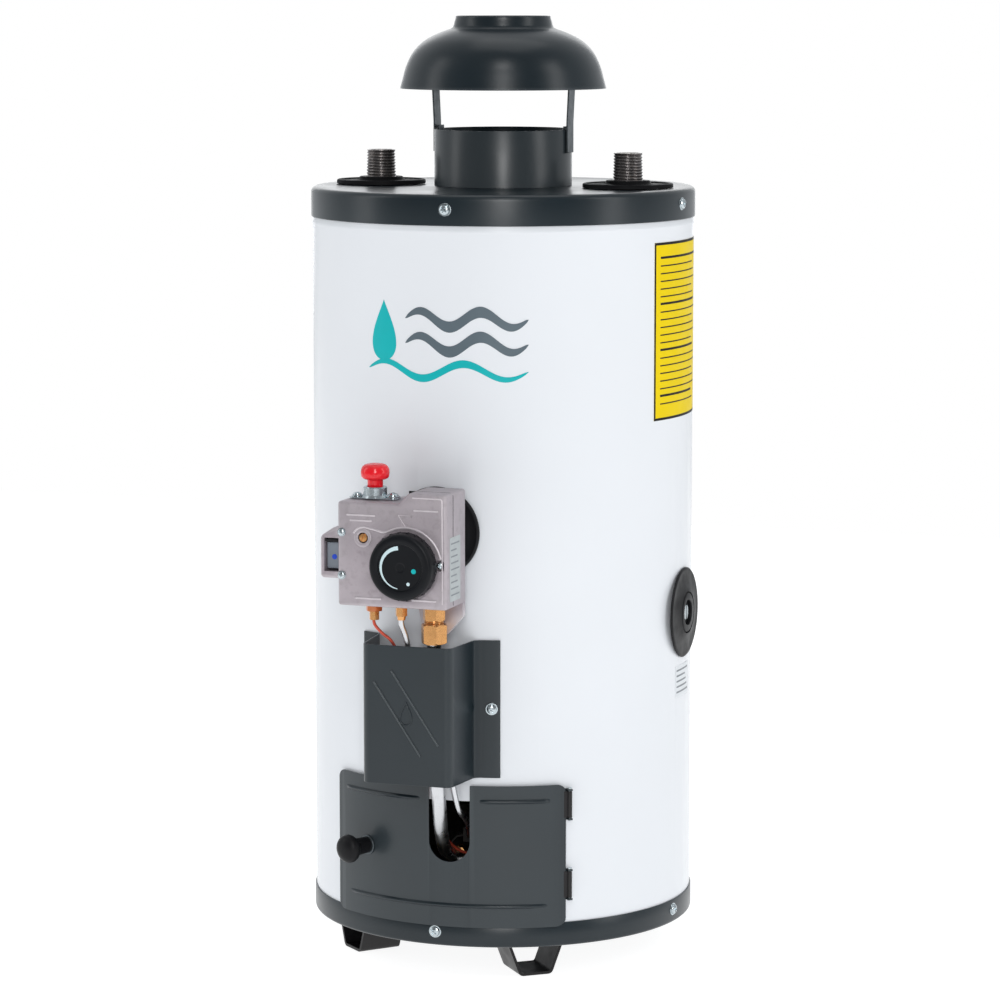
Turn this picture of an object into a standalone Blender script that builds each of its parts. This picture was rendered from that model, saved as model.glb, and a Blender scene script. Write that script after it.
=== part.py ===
"""Small storage gas water heater: every piece is its own closed solid.

The heater's own axis is vertical and its front faces -Y.  All sizes below are in
millimetres from the floor and from that axis; AXIS_X and AXIS_Y then shift the whole
heater so that its bounding box stands centred on the world origin.
Bearings are in degrees from the front (-Y), positive towards +X.
"""

from math import atan2, ceil, cos, degrees, hypot, pi, radians, sin, sqrt

import bmesh
import bpy
from mathutils import Matrix, Vector

MM = 0.001
GAP = 0.3                      # clearance kept between touching pieces

# ---- driving dimensions (mm) -------------------------------------------------
JACKET_R = 167.5               # outside of the white jacket
SHEET = 1.0                    # jacket, lid and collar sheet
JACKET_BOTTOM, JACKET_TOP = 32.5, 669.5
LID_R, LID_SKIRT_Z, LID_TOP = 168.8, 650.0, 676.0
PAN_BOTTOM, PAN_SKIRT_TOP = 31.0, 52.0
PLATE = 1.2                    # lid and base plate thickness
# bearings of the screws through the lid's and the base's skirts, and how far a head stands out
LID_SCREWS, LID_SCREW_Z = (2.6, 85.5, 180.0, -90.0), 663.6
PAN_SCREWS, PAN_SCREW_Z = (-0.8, 82.0, 180.0, -90.0), 43.4
SCREW_REACH = 2.9

COLLAR_R, COLLAR_TOP = 60.5, 725.5
HOOD_RIM_Z, HOOD_SHEET = 761.0, 1.2
# outside of the bell: radius, height above its rim
HOOD_OUTLINE = [(90.4, 0.0), (88.4, 7.6), (84.9, 19.9), (79.4, 30.9), (71.9, 39.2), (63.6, 44.7),
                (46.0, 51.8), (43.4, 54.5), (41.6, 63.0)]
STRAP_WIDTH, STRAP_SHEET = 16.0, 1.5

TANK_R, TANK_WALL, TANK_BOTTOM, TANK_TOP = 142.0, 2.5, 275.0, 648.0
FLUE_R, FLUE_WALL, FLUE_TOP = 38.0, 2.5, 690.0
CHAMBER_R = 141.2
INSULATION_R = 165.8

NIPPLE_X, NIPPLE_R, NIPPLE_BORE, NIPPLE_TOP = 115.0, 13.35, 10.5, 706.0
WATER_ESCUTCHEON_R = 39.5

FOOT_BEARINGS = (31.0, 130.0, -149.0, -50.0)
FOOT_TURN = 9.0                # each foot is turned this much from its radius
FOOT_OUTER_R, FOOT_LENGTH, FOOT_SHEET = 143.0, 39.0, 2.5
FOOT_TOP = PAN_BOTTOM - GAP

VALVE_LEFT, VALVE_RIGHT, VALVE_STEP_X = -63.0, 34.0, -4.0
VALVE_FRONT, VALVE_BACK = -237.0, -190.0
VALVE_BOTTOM, VALVE_TOP_LEFT, VALVE_TOP_RIGHT = 335.0, 423.0, 432.0
SPUD_Z, SPUD_BORE, VALVE_ESCUTCHEON_R = 391.0, 14.4, 38.5
DIAL_X, DIAL_Z, DIAL_R, DIAL_FACE_Y = -2.3, 371.3, 28.5, -251.0
BUTTON_X, BUTTON_Y, BUTTON_TOP = -38.0, -214.0, 453.0
PILOT_SCREW_X, PILOT_SCREW_Z = -40.0, 393.0
INLET_LEFT, INLET_BOTTOM, INLET_TOP = -80.0, 357.0, 400.0
INLET_FRONT, INLET_BACK = -233.0, -197.0

GAS_NUT = (11.8, -207.0)
COUPLE_NUT = (-39.0, -215.0)
PILOT_NUT = (-14.5, -215.0)
GAS_TUBE_R, PILOT_TUBE_R, LEAD_R = 6.0, 2.4, 1.3

COVER_BOTTOM, COVER_TOP, COVER_FRONT_Y = 180.0, 299.0, -214.5
COVER_LEFT_X, COVER_RIGHT_X = -51.5, 29.5
COVER_SCREW_Z, COVER_SCREW_BEARINGS = 240.0, {"left": -22.4, "right": 16.2}

DOOR_R, DOOR_SHEET, DOOR_BOTTOM, DOOR_TOP = 169.5, 1.2, 49.0, 173.0
DOOR_LEFT_X, DOOR_RIGHT_X = -103.5, 104.5
DOOR_SLOT_X, DOOR_SLOT_HALF, DOOR_SLOT_Z = 11.0, 18.25, 124.0
HINGE_BEARING, HINGE_R, BARREL_R, HINGE_PIN_R = 39.0, 171.4, 1.9, 0.9
HINGE_SPANS = {"upper": (144.0, 167.0), "lower": (74.0, 97.0)}
KNOB_BEARING, KNOB_Z = -23.9, 112.0

DRAIN_Z, DRAIN_FACE_X, DRAIN_ESCUTCHEON_R = 305.0, 172.5, 39.5
OPENING_HALF_X, OPENING_BOTTOM, OPENING_TOP = 83.5, 62.0, 159.0

BURNER_R, BURNER_TOP = 62.0, 132.0
VENTURI_Z, VENTURI_R = 99.0, 14.0

ROUND, MEDIUM, SMALL = 48, 20, 12   # facets round large, medium and small pieces

# the bounding box runs from the left screws to the drain, and from the dial to the back screws
AXIS_X = (LID_R + SCREW_REACH - DRAIN_FACE_X) / 2
AXIS_Y = (-DIAL_FACE_Y - LID_R - SCREW_REACH) / 2

# colour, roughness and metallic value of each material
MATERIALS = {
    "white_enamel": ((0.86, 0.89, 0.91), 0.25, 0.0),
    "grey_enamel": ((0.052, 0.062, 0.068), 0.35, 0.0),
    "black_plastic": ((0.012, 0.012, 0.013), 0.4, 0.0),
    "red_plastic": ((0.75, 0.02, 0.02), 0.3, 0.0),
    "grey_plastic": ((0.2, 0.22, 0.24), 0.45, 0.0),
    "natural_plastic": ((0.75, 0.75, 0.7), 0.5, 0.0),
    "cast_aluminium": ((0.42, 0.40, 0.40), 0.45, 1.0),
    "aluminium": ((0.75, 0.76, 0.78), 0.3, 1.0),
    "zinc": ((0.6, 0.62, 0.63), 0.3, 1.0),
    "steel": ((0.3, 0.3, 0.31), 0.45, 1.0),
    "brass": ((0.72, 0.42, 0.14), 0.3, 1.0),
    "copper": ((0.75, 0.3, 0.16), 0.35, 1.0),
    "magnesium": ((0.5, 0.5, 0.5), 0.6, 1.0),
    "foam": ((0.75, 0.65, 0.35), 0.9, 0.0),
}

ALONG_FRONT = Matrix.Rotation(radians(90), 4, "X")     # local +Z points to -Y


# ---- helpers -----------------------------------------------------------------
def clear_scene():
    for old in list(bpy.data.objects):
        bpy.data.objects.remove(old, do_unlink=True)


def material(slot):
    found = bpy.data.materials.get(slot)
    if found:
        return found
    colour, roughness, metallic = MATERIALS[slot]
    made = bpy.data.materials.new(slot)
    made.use_nodes = True
    shader = made.node_tree.nodes["Principled BSDF"]
    shader.inputs["Base Color"].default_value = (*colour, 1.0)
    shader.inputs["Roughness"].default_value = roughness
    shader.inputs["Metallic"].default_value = metallic
    return made


def at_bearing(radius, bearing, z=0.0):
    """The point at this radius and bearing, in mm from the heater's axis."""
    turn = radians(bearing)
    return Vector((radius * sin(turn), -radius * cos(turn), z))


def outward(radius, bearing, z):
    """A frame on the heater's side whose +Z points straight out at this bearing."""
    turn = Matrix.Rotation(radians(bearing), 4, "Z")
    return Matrix.Translation(at_bearing(radius, bearing, z)) @ turn @ ALONG_FRONT


def finish_mesh(bm, name):
    bmesh.ops.recalc_face_normals(bm, faces=bm.faces)
    if bm.calc_volume(signed=True) < 0:
        bmesh.ops.reverse_faces(bm, faces=bm.faces)
    bmesh.ops.scale(bm, vec=(MM, MM, MM), verts=bm.verts)
    mesh = bpy.data.meshes.new(name)
    bm.to_mesh(mesh)
    bm.free()
    mesh.shade_smooth()
    mesh.set_sharp_from_angle(angle=radians(35))
    return mesh


def place(name, bm, slot, parent, frame=None):
    """Put a bmesh made in mm into the scene as one named sub-part.

    frame is the sub-part's place in the heater; the object's origin lands there.
    """
    made = bpy.data.objects.new(name, finish_mesh(bm, name))
    bpy.context.scene.collection.objects.link(made)
    made.data.materials.append(material(slot))
    frame = frame or Matrix.Identity(4)
    local = frame.copy()
    local.translation = (frame.translation - parent["centre"]) * MM
    made.parent = parent["empty"]
    made.matrix_local = local
    return made


def empty(name, parent=None, centre=(0.0, 0.0, 0.0)):
    """An empty at centre (mm, heater frame); pieces parented to it move with it."""
    made = bpy.data.objects.new(name, None)
    bpy.context.scene.collection.objects.link(made)
    centre = Vector(centre)
    if parent:
        made.parent = parent["empty"]
        made.location = (centre - parent["centre"]) * MM
    else:
        made.location = (AXIS_X * MM, AXIS_Y * MM, 0.0)
    return {"empty": made, "centre": centre}


def turned(profile, segments):
    """Revolve a profile of (radius, z) points about Z; points at radius 0 are poles."""
    bm = bmesh.new()
    rings = []
    for radius, z in profile:
        if radius < 1e-6:
            rings.append([bm.verts.new((0, 0, z))])
        else:
            rings.append([bm.verts.new((radius * sin(2 * pi * k / segments),
                                        -radius * cos(2 * pi * k / segments), z))
                          for k in range(segments)])
    pairs = list(zip(rings, rings[1:]))
    if len(rings[0]) > 1 and len(rings[-1]) > 1:
        pairs.append((rings[-1], rings[0]))
    for low, high in pairs:
        for k in range(segments):
            after = (k + 1) % segments
            corners = [low[k % len(low)], low[after % len(low)],
                       high[after % len(high)], high[k % len(high)]]
            unique = list(dict.fromkeys(corners))
            if len(unique) > 2:
                bm.faces.new(unique)
    return bm


def ring(inner, outer, z0, z1):
    return [(inner, z0), (outer, z0), (outer, z1), (inner, z1)]


def disc(outer, z0, z1):
    return [(0, z0), (outer, z0), (outer, z1), (0, z1)]


def prism(outline, z0, z1):
    """Extrude a closed outline of (x, y) points from z0 to z1."""
    bm = bmesh.new()
    low = [bm.verts.new((x, y, z0)) for x, y in outline]
    high = [bm.verts.new((x, y, z1)) for x, y in outline]
    bm.faces.new(low)
    bm.faces.new(reversed(high))
    for k in range(len(outline)):
        after = (k + 1) % len(outline)
        bm.faces.new((low[k], high[k], high[after], low[after]))
    return bm


def facing_prism(outline, front_y, back_y):
    """Extrude an outline of (x, z) points from front_y back to back_y."""
    bm = prism(outline, -back_y, -front_y)
    bmesh.ops.transform(bm, matrix=ALONG_FRONT, verts=bm.verts)
    return bm


def box(low, high):
    return prism([(low[0], low[1]), (high[0], low[1]), (high[0], high[1]), (low[0], high[1])],
                 low[2], high[2])


def rod(radius, z0, z1, segments=SMALL):
    return turned(disc(radius, z0, z1), segments)


def arc(centre, radius, start, stop, steps):
    """Points on an arc in a plane, angles in degrees."""
    return [(centre[0] + radius * cos(radians(start + (stop - start) * k / steps)),
             centre[1] + radius * sin(radians(start + (stop - start) * k / steps)))
            for k in range(steps + 1)]


def rounded_box(x0, z0, x1, z1, radius, steps=3):
    return (arc((x1 - radius, z0 + radius), radius, -90, 0, steps)
            + arc((x1 - radius, z1 - radius), radius, 0, 90, steps)
            + arc((x0 + radius, z1 - radius), radius, 90, 180, steps)
            + arc((x0 + radius, z0 + radius), radius, 180, 270, steps))


def offset_path(path, distance):
    """The path moved sideways by distance, mitred at its corners."""
    moved = []
    for k, point in enumerate(path):
        before = path[max(k - 1, 0)]
        after = path[min(k + 1, len(path) - 1)]
        normals = []
        for a, b in ((before, point), (point, after)):
            length = hypot(b[0] - a[0], b[1] - a[1])
            if length > 1e-9:
                normals.append(Vector((-(b[1] - a[1]) / length, (b[0] - a[0]) / length)))
        mean = sum(normals, Vector((0, 0))).normalized()
        reach = distance / mean.dot(normals[0])
        moved.append((point[0] + mean.x * reach, point[1] + mean.y * reach))
    return moved


def strip(path, thickness):
    """The closed outline of a bent strip whose one face follows the path."""
    return path + offset_path(path, thickness)[::-1]


def smooth_route(points, step):
    """Points about every step mm along a Catmull-Rom curve through the given points."""
    points = [Vector(p) for p in points]
    ends = [2 * points[0] - points[1]] + points + [2 * points[-1] - points[-2]]
    route = [points[0]]
    for k in range(1, len(ends) - 2):
        p0, p1, p2, p3 = ends[k - 1:k + 3]
        pieces = max(2, ceil((p2 - p1).length / step))
        for j in range(1, pieces + 1):
            t = j / pieces
            route.append(0.5 * (2 * p1 + (p2 - p0) * t + (2 * p0 - 5 * p1 + 4 * p2 - p3) * t * t
                                + (3 * p1 - p0 - 3 * p2 + p3) * t ** 3))
    return route


def tube_along(name, points, radius, slot, parent, step):
    """A round solid tube along a smooth route, as a bevelled curve with filled caps."""
    route = smooth_route(points, step)
    data = bpy.data.curves.new(name, "CURVE")
    data.dimensions = "3D"
    data.bevel_depth = radius * MM
    data.bevel_resolution = 2
    data.use_fill_caps = True
    spline = data.splines.new("POLY")
    spline.points.add(len(route) - 1)
    for target, point in zip(spline.points, route):
        target.co = (*((point - parent["centre"]) * MM), 1.0)
    made = bpy.data.objects.new(name, data)
    bpy.context.scene.collection.objects.link(made)
    data.materials.append(material(slot))
    made.parent = parent["empty"]
    return made


def swept_pipe(points, outer, inner, step, segments=SMALL):
    """A hollow pipe along a smooth route, open at both ends."""
    route = smooth_route(points, step)
    bm = bmesh.new()
    side = Vector((1, 0, 0))
    loops = {outer: [], inner: []}
    for k, point in enumerate(route):
        ahead = (route[min(k + 1, len(route) - 1)] - route[max(k - 1, 0)]).normalized()
        side = (side - side.dot(ahead) * ahead).normalized()
        up = ahead.cross(side)
        for radius in (outer, inner):
            loops[radius].append([bm.verts.new(point + radius * (side * cos(2 * pi * j / segments)
                                                                 + up * sin(2 * pi * j / segments)))
                                  for j in range(segments)])
    skin = loops[outer] + loops[inner][::-1]
    for low, high in zip(skin, skin[1:] + skin[:1]):
        for j in range(segments):
            after = (j + 1) % segments
            bm.faces.new((low[j], low[after], high[after], high[j]))
    return bm


def modify(target, tool_bm, operation, frame=None):
    """Apply a Boolean with a tool solid given in the heater's frame."""
    name = f"{target.name}_tool_{len(target.modifiers)}"
    tool = place(name, tool_bm, "steel", ROOT, frame)
    tool.hide_render = True
    tool.display_type = "WIRE"
    step = target.modifiers.new(f"{operation.lower()}_{len(target.modifiers)}", "BOOLEAN")
    step.operation = operation
    step.solver = "EXACT"
    step.object = tool


def cut(target, tool_bm, frame=None):
    modify(target, tool_bm, "DIFFERENCE", frame)


def bore(target, radius, z0, z1, frame, segments=SMALL):
    """Drill along the frame's Z; the drill is turned so its edges miss the target's own."""
    cut(target, rod(radius, z0, z1, segments), frame @ Matrix.Rotation(radians(5), 4, "Z"))


def fuse(target, tool_bm, frame=None):
    modify(target, tool_bm, "UNION", frame)


def soften(target, width, segments=2):
    """Round the target's sharp edges over, before any Boolean."""
    bevel = target.modifiers.new("bevel", "BEVEL")
    bevel.width = width * MM
    bevel.segments = segments
    bevel.limit_method = "ANGLE"
    bevel.angle_limit = radians(40)


# ---- shell -------------------------------------------------------------------
def make_jacket():
    profile = ring(JACKET_R - SHEET, JACKET_R, JACKET_BOTTOM, JACKET_TOP)
    jacket = place("jacket", turned(profile, ROUND), "white_enamel", ROOT)
    opening = rounded_box(-OPENING_HALF_X, OPENING_BOTTOM, OPENING_HALF_X, OPENING_TOP, 6)
    cut(jacket, facing_prism(opening, -190, -100))
    bore(jacket, 17, -10, 10, outward(JACKET_R, 0, SPUD_Z))
    bore(jacket, 14, -10, 10, outward(JACKET_R, 90, DRAIN_Z))
    for bearing in COVER_SCREW_BEARINGS.values():
        bore(jacket, 2.4, -5, 5, outward(JACKET_R, bearing, COVER_SCREW_Z), 8)


def add_screw_heads(target, bearings, z):
    """Join the skirt's screw heads on, turned off the skirt's own facet lines."""
    head = [(0, -0.5), (5.0, -0.5), (5.0, 1.0), (4.2, 1.2), (3.4, 2.6), (0, SCREW_REACH)]
    for bearing in bearings:
        off_facets = Matrix.Rotation(radians(5), 4, "Z")
        fuse(target, turned(head, SMALL), outward(LID_R, bearing, z) @ off_facets)


def make_base_pan():
    profile = [(45, PAN_BOTTOM), (LID_R - 2, PAN_BOTTOM), (LID_R, PAN_BOTTOM + 2),
               (LID_R, PAN_SKIRT_TOP), (LID_R - SHEET, PAN_SKIRT_TOP),
               (LID_R - SHEET, PAN_BOTTOM + PLATE), (45, PAN_BOTTOM + PLATE)]
    pan = place("base_pan", turned(profile, ROUND), "grey_enamel", ROOT)
    add_screw_heads(pan, PAN_SCREWS, PAN_SCREW_Z)


def make_top_cover():
    shoulder = arc((LID_R - 5, LID_TOP - 5), 5, 0, 90, 2)
    inner_shoulder = arc((LID_R - 5, LID_TOP - 5), 5 - SHEET, 90, 0, 2)
    profile = ([(LID_R, LID_SKIRT_Z)] + shoulder + [(FLUE_R + 2.5, LID_TOP),
               (FLUE_R + 2.5, LID_TOP - SHEET)] + inner_shoulder
               + [(LID_R - SHEET, LID_SKIRT_Z)])
    lid = place("top_cover", turned(profile, ROUND), "grey_enamel", ROOT)
    for side in (-1, 1):
        bore(lid, NIPPLE_R + 1.5, -10, 10, Matrix.Translation((side * NIPPLE_X, 0, LID_TOP)))
    add_screw_heads(lid, LID_SCREWS, LID_SCREW_Z)


def make_feet():
    """Straps bent to a flat-bottomed V, with their ends turned in under the pan."""
    half_bottom, half_top, tab = 14.8, 26.5, 8.5
    corner = [(half_top - tab, FOOT_TOP), (half_top, FOOT_TOP), (half_bottom, 0)]
    outside = [(-x, z) for x, z in corner] + corner[::-1]
    for number, bearing in enumerate(FOOT_BEARINGS, start=1):
        frame = Matrix.Translation(at_bearing(FOOT_OUTER_R, bearing)) \
            @ Matrix.Rotation(radians(bearing + FOOT_TURN), 4, "Z")
        bm = facing_prism(strip(outside, FOOT_SHEET), 0, FOOT_LENGTH)
        place(f"foot_{number}", bm, "black_plastic", ROOT, frame)


# ---- draught hood --------------------------------------------------------------
def make_flue_collar():
    inner = COLLAR_R - SHEET
    low = LID_TOP + GAP
    profile = [(FLUE_R + 4, low), (COLLAR_R, low), (COLLAR_R, COLLAR_TOP), (inner, COLLAR_TOP),
               (inner, low + SHEET), (FLUE_R + 4, low + SHEET)]
    place("flue_collar", turned(profile, ROUND), "grey_enamel", ROOT)


def make_hood():
    inner = offset_path(HOOD_OUTLINE, HOOD_SHEET)
    inner[0] = (HOOD_OUTLINE[0][0] - HOOD_SHEET, 0.0)
    inner[-1] = (HOOD_OUTLINE[-1][0] - HOOD_SHEET, HOOD_OUTLINE[-1][1])
    profile = [(r, z + HOOD_RIM_Z) for r, z in HOOD_OUTLINE + inner[::-1]]
    place("hood_bell", turned(profile, ROUND), "grey_enamel", HOOD)


def make_hood_straps():
    """Each strap straddles the collar's rim and is riveted to the inside of the bell."""
    inner_r, outer_r, bridge_z = 57.4, 62.5, 727.0
    under_bell = [(r, z + HOOD_RIM_Z) for r, z in offset_path(HOOD_OUTLINE, HOOD_SHEET + 0.5)]
    face = [(outer_r, 705.0), (outer_r, 732.0), (65.5, 790.0), (65.5, 799.0), under_bell[5],
            (52.0, under_bell[5][1] + 4.4)]
    rise = strip(face, STRAP_SHEET)
    tongue = [(inner_r, 712.0), (inner_r + STRAP_SHEET, 712.0),
              (inner_r + STRAP_SHEET, bridge_z), (outer_r - 0.5, bridge_z),
              (outer_r - 0.5, bridge_z + STRAP_SHEET), (inner_r, bridge_z + STRAP_SHEET)]
    half = STRAP_WIDTH / 2
    for name, bearing in (("left", -90), ("right", 90)):
        frame = Matrix.Rotation(radians(bearing - 90), 4, "Z")
        strap = place(f"hood_strap_{name}", facing_prism(rise, -half, half), "zinc", HOOD,
                      frame)
        fuse(strap, facing_prism(tongue, -half + 2, half - 2), frame)


# ---- tank and flue ---------------------------------------------------------------
def make_tank():
    r, wall, low, high, knuckle = TANK_R, TANK_WALL, TANK_BOTTOM, TANK_TOP, 12.0
    hole = FLUE_R + 0.5
    outside = [(hole, low), (r - knuckle, low), (r, low + knuckle), (r, high - knuckle),
               (r - knuckle, high), (hole, high)]
    inside = [(hole, high - wall), (r - knuckle - 1, high - wall), (r - wall, high - knuckle - 1),
              (r - wall, low + knuckle + 1), (r - knuckle - 1, low + wall), (hole, low + wall)]
    tank = place("tank", turned(outside + inside, ROUND), "steel", ROOT)
    for side in (-1, 1):
        bore(tank, NIPPLE_R + 0.9, -15, 15, Matrix.Translation((side * NIPPLE_X, 0, TANK_TOP)))
    bore(tank, SPUD_BORE, -15, 15, outward(TANK_R, 0, SPUD_Z))
    bore(tank, 11, -15, 15, outward(TANK_R, 90, DRAIN_Z))


def make_insulation():
    profile = ring(TANK_R + 1, INSULATION_R, TANK_BOTTOM, JACKET_TOP - 0.5)
    upper = place("tank_insulation", turned(profile, ROUND), "foam", ROOT)
    bore(upper, 17, -30, 30, outward(TANK_R + 12, 0, SPUD_Z))
    bore(upper, 14, -30, 30, outward(TANK_R + 12, 90, DRAIN_Z))
    profile = ring(CHAMBER_R + 1, INSULATION_R, PAN_BOTTOM + 2, TANK_BOTTOM - 1)
    lower = place("chamber_insulation", turned(profile, ROUND), "foam", ROOT)
    cut(lower, box((-OPENING_HALF_X - 1, -190, OPENING_BOTTOM - 2),
                   (OPENING_HALF_X + 1, -100, OPENING_TOP + 2)))


def make_chamber():
    profile = ring(CHAMBER_R - PLATE, CHAMBER_R, JACKET_BOTTOM, TANK_BOTTOM - GAP)
    chamber = place("combustion_chamber", turned(profile, ROUND), "steel", ROOT)
    cut(chamber, box((-78, -190, 60), (78, -80, OPENING_TOP)))


def make_heat_shield():
    low, high, rim = JACKET_BOTTOM, 56.0, CHAMBER_R - PLATE - 2
    profile = [(40, high - PLATE), (rim - PLATE, high - PLATE), (rim - PLATE, low), (rim, low),
               (rim, high), (40, high)]
    place("heat_shield", turned(profile, ROUND), "steel", ROOT)


def make_flue():
    place("flue_tube", turned(ring(FLUE_R - FLUE_WALL, FLUE_R, TANK_BOTTOM - 12, FLUE_TOP), MEDIUM),
          "steel", ROOT)


def make_flue_baffle():
    """A twisted strip that slows the flue gas; it hangs inside the flue tube."""
    half_width, half_sheet, low, high, turns, steps = 31.0, 0.8, 290.0, 684.0, 3.0, 48
    bm = bmesh.new()
    sections = []
    for k in range(steps + 1):
        z = low + (high - low) * k / steps
        angle = 2 * pi * turns * k / steps
        along = Vector((cos(angle), sin(angle), 0))
        across = Vector((-sin(angle), cos(angle), 0))
        sections.append([bm.verts.new(along * a * half_width + across * b * half_sheet
                                      + Vector((0, 0, z)))
                         for a, b in ((-1, -1), (1, -1), (1, 1), (-1, 1))])
    bm.faces.new(sections[0])
    bm.faces.new(sections[-1])
    for low_section, high_section in zip(sections, sections[1:]):
        for j in range(4):
            after = (j + 1) % 4
            bm.faces.new((low_section[j], low_section[after],
                          high_section[after], high_section[j]))
    bmesh.ops.triangulate(bm, faces=bm.faces)
    place("flue_baffle", bm, "steel", ROOT)


def make_water_connections():
    seat = LID_TOP + GAP
    escutcheon = [(NIPPLE_R + 0.6, seat), (WATER_ESCUTCHEON_R, seat),
                  (WATER_ESCUTCHEON_R, seat + 2.8), (WATER_ESCUTCHEON_R - 1, seat + 3.6),
                  (21, seat + 4.2), (19.5, seat + 6), (NIPPLE_R + 0.6, seat + 6)]
    for name, side in (("cold", -1), ("hot", 1)):
        frame = Matrix.Translation((side * NIPPLE_X, 0, 0))
        pipe = ring(NIPPLE_BORE, NIPPLE_R, TANK_TOP - 8, NIPPLE_TOP)
        place(f"{name}_nipple", turned(pipe, MEDIUM), "steel", ROOT, frame)
        place(f"{name}_escutcheon", turned(escutcheon, MEDIUM), "black_plastic", ROOT, frame)
    cold = Matrix.Translation((-NIPPLE_X, 0, 0))
    hot = Matrix.Translation((NIPPLE_X, 0, 0))
    place("dip_tube", turned(ring(6.5, 8.0, 310, 700), SMALL), "natural_plastic", ROOT, cold)
    anode = [(0, 340), (8, 340), (8, 632), (1.6, 634), (1.6, 690), (0, 690)]
    place("anode_rod", turned(anode, SMALL), "magnesium", ROOT, hot)


# ---- thermostat and gas valve ----------------------------------------------------
def port_escutcheon(radius, hole, height):
    """A shallow dished disc with a central hole; its flat back is at z = 0."""
    return [(hole, 0), (radius, 0), (radius, 0.3 * height), (radius - 1.5, 0.42 * height),
            (radius * 0.6, 0.7 * height), (hole + 3, height), (hole, height)]


def make_thermostat():
    place("thermostat_shank", turned(ring(6.5, 13.35, 0, 50.5), 24), "steel", ROOT,
          outward(139.3, 0, SPUD_Z))
    place("thermostat_probe", rod(4.5, 0, 135), "copper", ROOT, outward(52, 0, SPUD_Z))
    disc_profile = port_escutcheon(VALVE_ESCUTCHEON_R, 14.2, 7.5)
    place("valve_escutcheon", turned(disc_profile, MEDIUM), "black_plastic", ROOT,
          outward(JACKET_R + 0.5, 0, SPUD_Z))


def make_valve_body():
    slope = 4.0
    outline = [(VALVE_LEFT, VALVE_BOTTOM), (VALVE_RIGHT, VALVE_BOTTOM),
               (VALVE_RIGHT, VALVE_TOP_RIGHT), (VALVE_STEP_X + slope, VALVE_TOP_RIGHT),
               (VALVE_STEP_X - slope, VALVE_TOP_LEFT), (VALVE_LEFT, VALVE_TOP_LEFT)]
    body = place("gas_valve_body", facing_prism(outline, VALVE_FRONT, VALVE_BACK),
                 "cast_aluminium", ROOT)
    soften(body, 3.0)
    lobe = [(-8, VALVE_BOTTOM + 5), (-2, 308), (20, 308), (VALVE_RIGHT - 0.5, 324),
            (VALVE_RIGHT - 0.5, VALVE_BOTTOM + 5)]
    fuse(body, facing_prism(lobe, -196.6, VALVE_BACK - 0.2))
    bore(body, 4.1, -9, 5, frame_on_face(PILOT_SCREW_X, PILOT_SCREW_Z), 12)
    bore(body, 2.9, -12, 5, Matrix.Translation((BUTTON_X, BUTTON_Y, VALVE_TOP_LEFT)), 12)
    bore(body, 4.4, -24, 5, frame_on_face(DIAL_X, DIAL_Z), 12)


def frame_on_face(x, z):
    """A frame on the valve's front face, +Z pointing forwards."""
    return Matrix.Translation((x, VALVE_FRONT, z)) @ ALONG_FRONT


def make_inlet():
    """The gas inlet flange on the valve's left, with its transit plug."""
    right = VALVE_LEFT - GAP
    outline = [(right, INLET_BOTTOM), (right, INLET_TOP), (right - 6, INLET_TOP),
               (INLET_LEFT, INLET_TOP - 7), (INLET_LEFT, INLET_BOTTOM)]
    flange = place("inlet_flange", facing_prism(outline, INLET_FRONT, INLET_BACK),
                   "cast_aluminium", ROOT)
    soften(flange, 1.2, 1)
    cut(flange, box((INLET_LEFT + 3.5, INLET_FRONT - 5, INLET_BOTTOM + 6),
                    (right + 5, INLET_FRONT + 26, INLET_TOP - 10)))
    place("inlet_plug", box((INLET_LEFT + 4, INLET_FRONT + 4, INLET_BOTTOM + 8),
                            (right - 0.5, INLET_FRONT + 24, INLET_TOP - 13)),
          "grey_plastic", ROOT)


def make_dial():
    back = VALVE_FRONT - 1.6
    depth = back - DIAL_FACE_Y
    grip = DIAL_R - 1.5
    profile = [(0, -22), (4, -22), (4, 0), (DIAL_R, 0), (DIAL_R, depth - 2.5),
               (DIAL_R - 2.5, depth), (grip - 9, depth), (grip - 10, depth - 1.5),
               (0, depth - 1.5)]
    place("temperature_dial", turned(profile, MEDIUM), "black_plastic", DIAL,
          Matrix.Translation((DIAL_X, back, DIAL_Z)) @ ALONG_FRONT)


def make_pilot_button():
    cap = [(0, 418), (2.4, 418), (2.4, 431.4), (6.7, 431.4), (6.7, 439.4), (10.4, 440.2),
           (12.2, 442.6), (12.2, 448.4), (9.6, BUTTON_TOP - 1), (0, BUTTON_TOP)]
    place("pilot_button", turned(cap, 24), "red_plastic", BUTTON,
          Matrix.Translation((BUTTON_X, BUTTON_Y, 0)))
    seat = VALVE_TOP_LEFT + GAP
    plate = [(-21.5, -8), (21.5, -8), (21.5, 8), (-21.5, 8)]
    bracket = place("button_bracket", prism(plate, seat, seat + 1.5), "zinc", ROOT,
                    Matrix.Translation((BUTTON_X, BUTTON_Y, 0)))
    frame = Matrix.Translation((BUTTON_X, BUTTON_Y, 0))
    fuse(bracket, rod(10, seat + 0.2, 433.8, 24), frame)
    bore(bracket, 7.4, seat - 2, 438, frame, 24)
    coil = []
    for k in range(2 * 8 + 1):
        angle = 2 * pi * k / 8
        coil.append((BUTTON_X + 5 * cos(angle), BUTTON_Y + 5 * sin(angle), 424.2 + 6.2 * k / 16))
    tube_along("button_spring", coil, 0.45, "steel", ROOT, 5)


def hex_fitting(name, slot, place_xy, profile, hole, depth):
    """A six-sided fitting with a flat to the front, drilled from below for its tube."""
    frame = Matrix.Translation((*place_xy, 0)) @ Matrix.Rotation(radians(30), 4, "Z")
    fitting = place(name, turned(profile, 6), slot, ROOT, frame)
    bottom = profile[0][1]
    bore(fitting, hole, bottom - 5, bottom + depth, frame)


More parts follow.
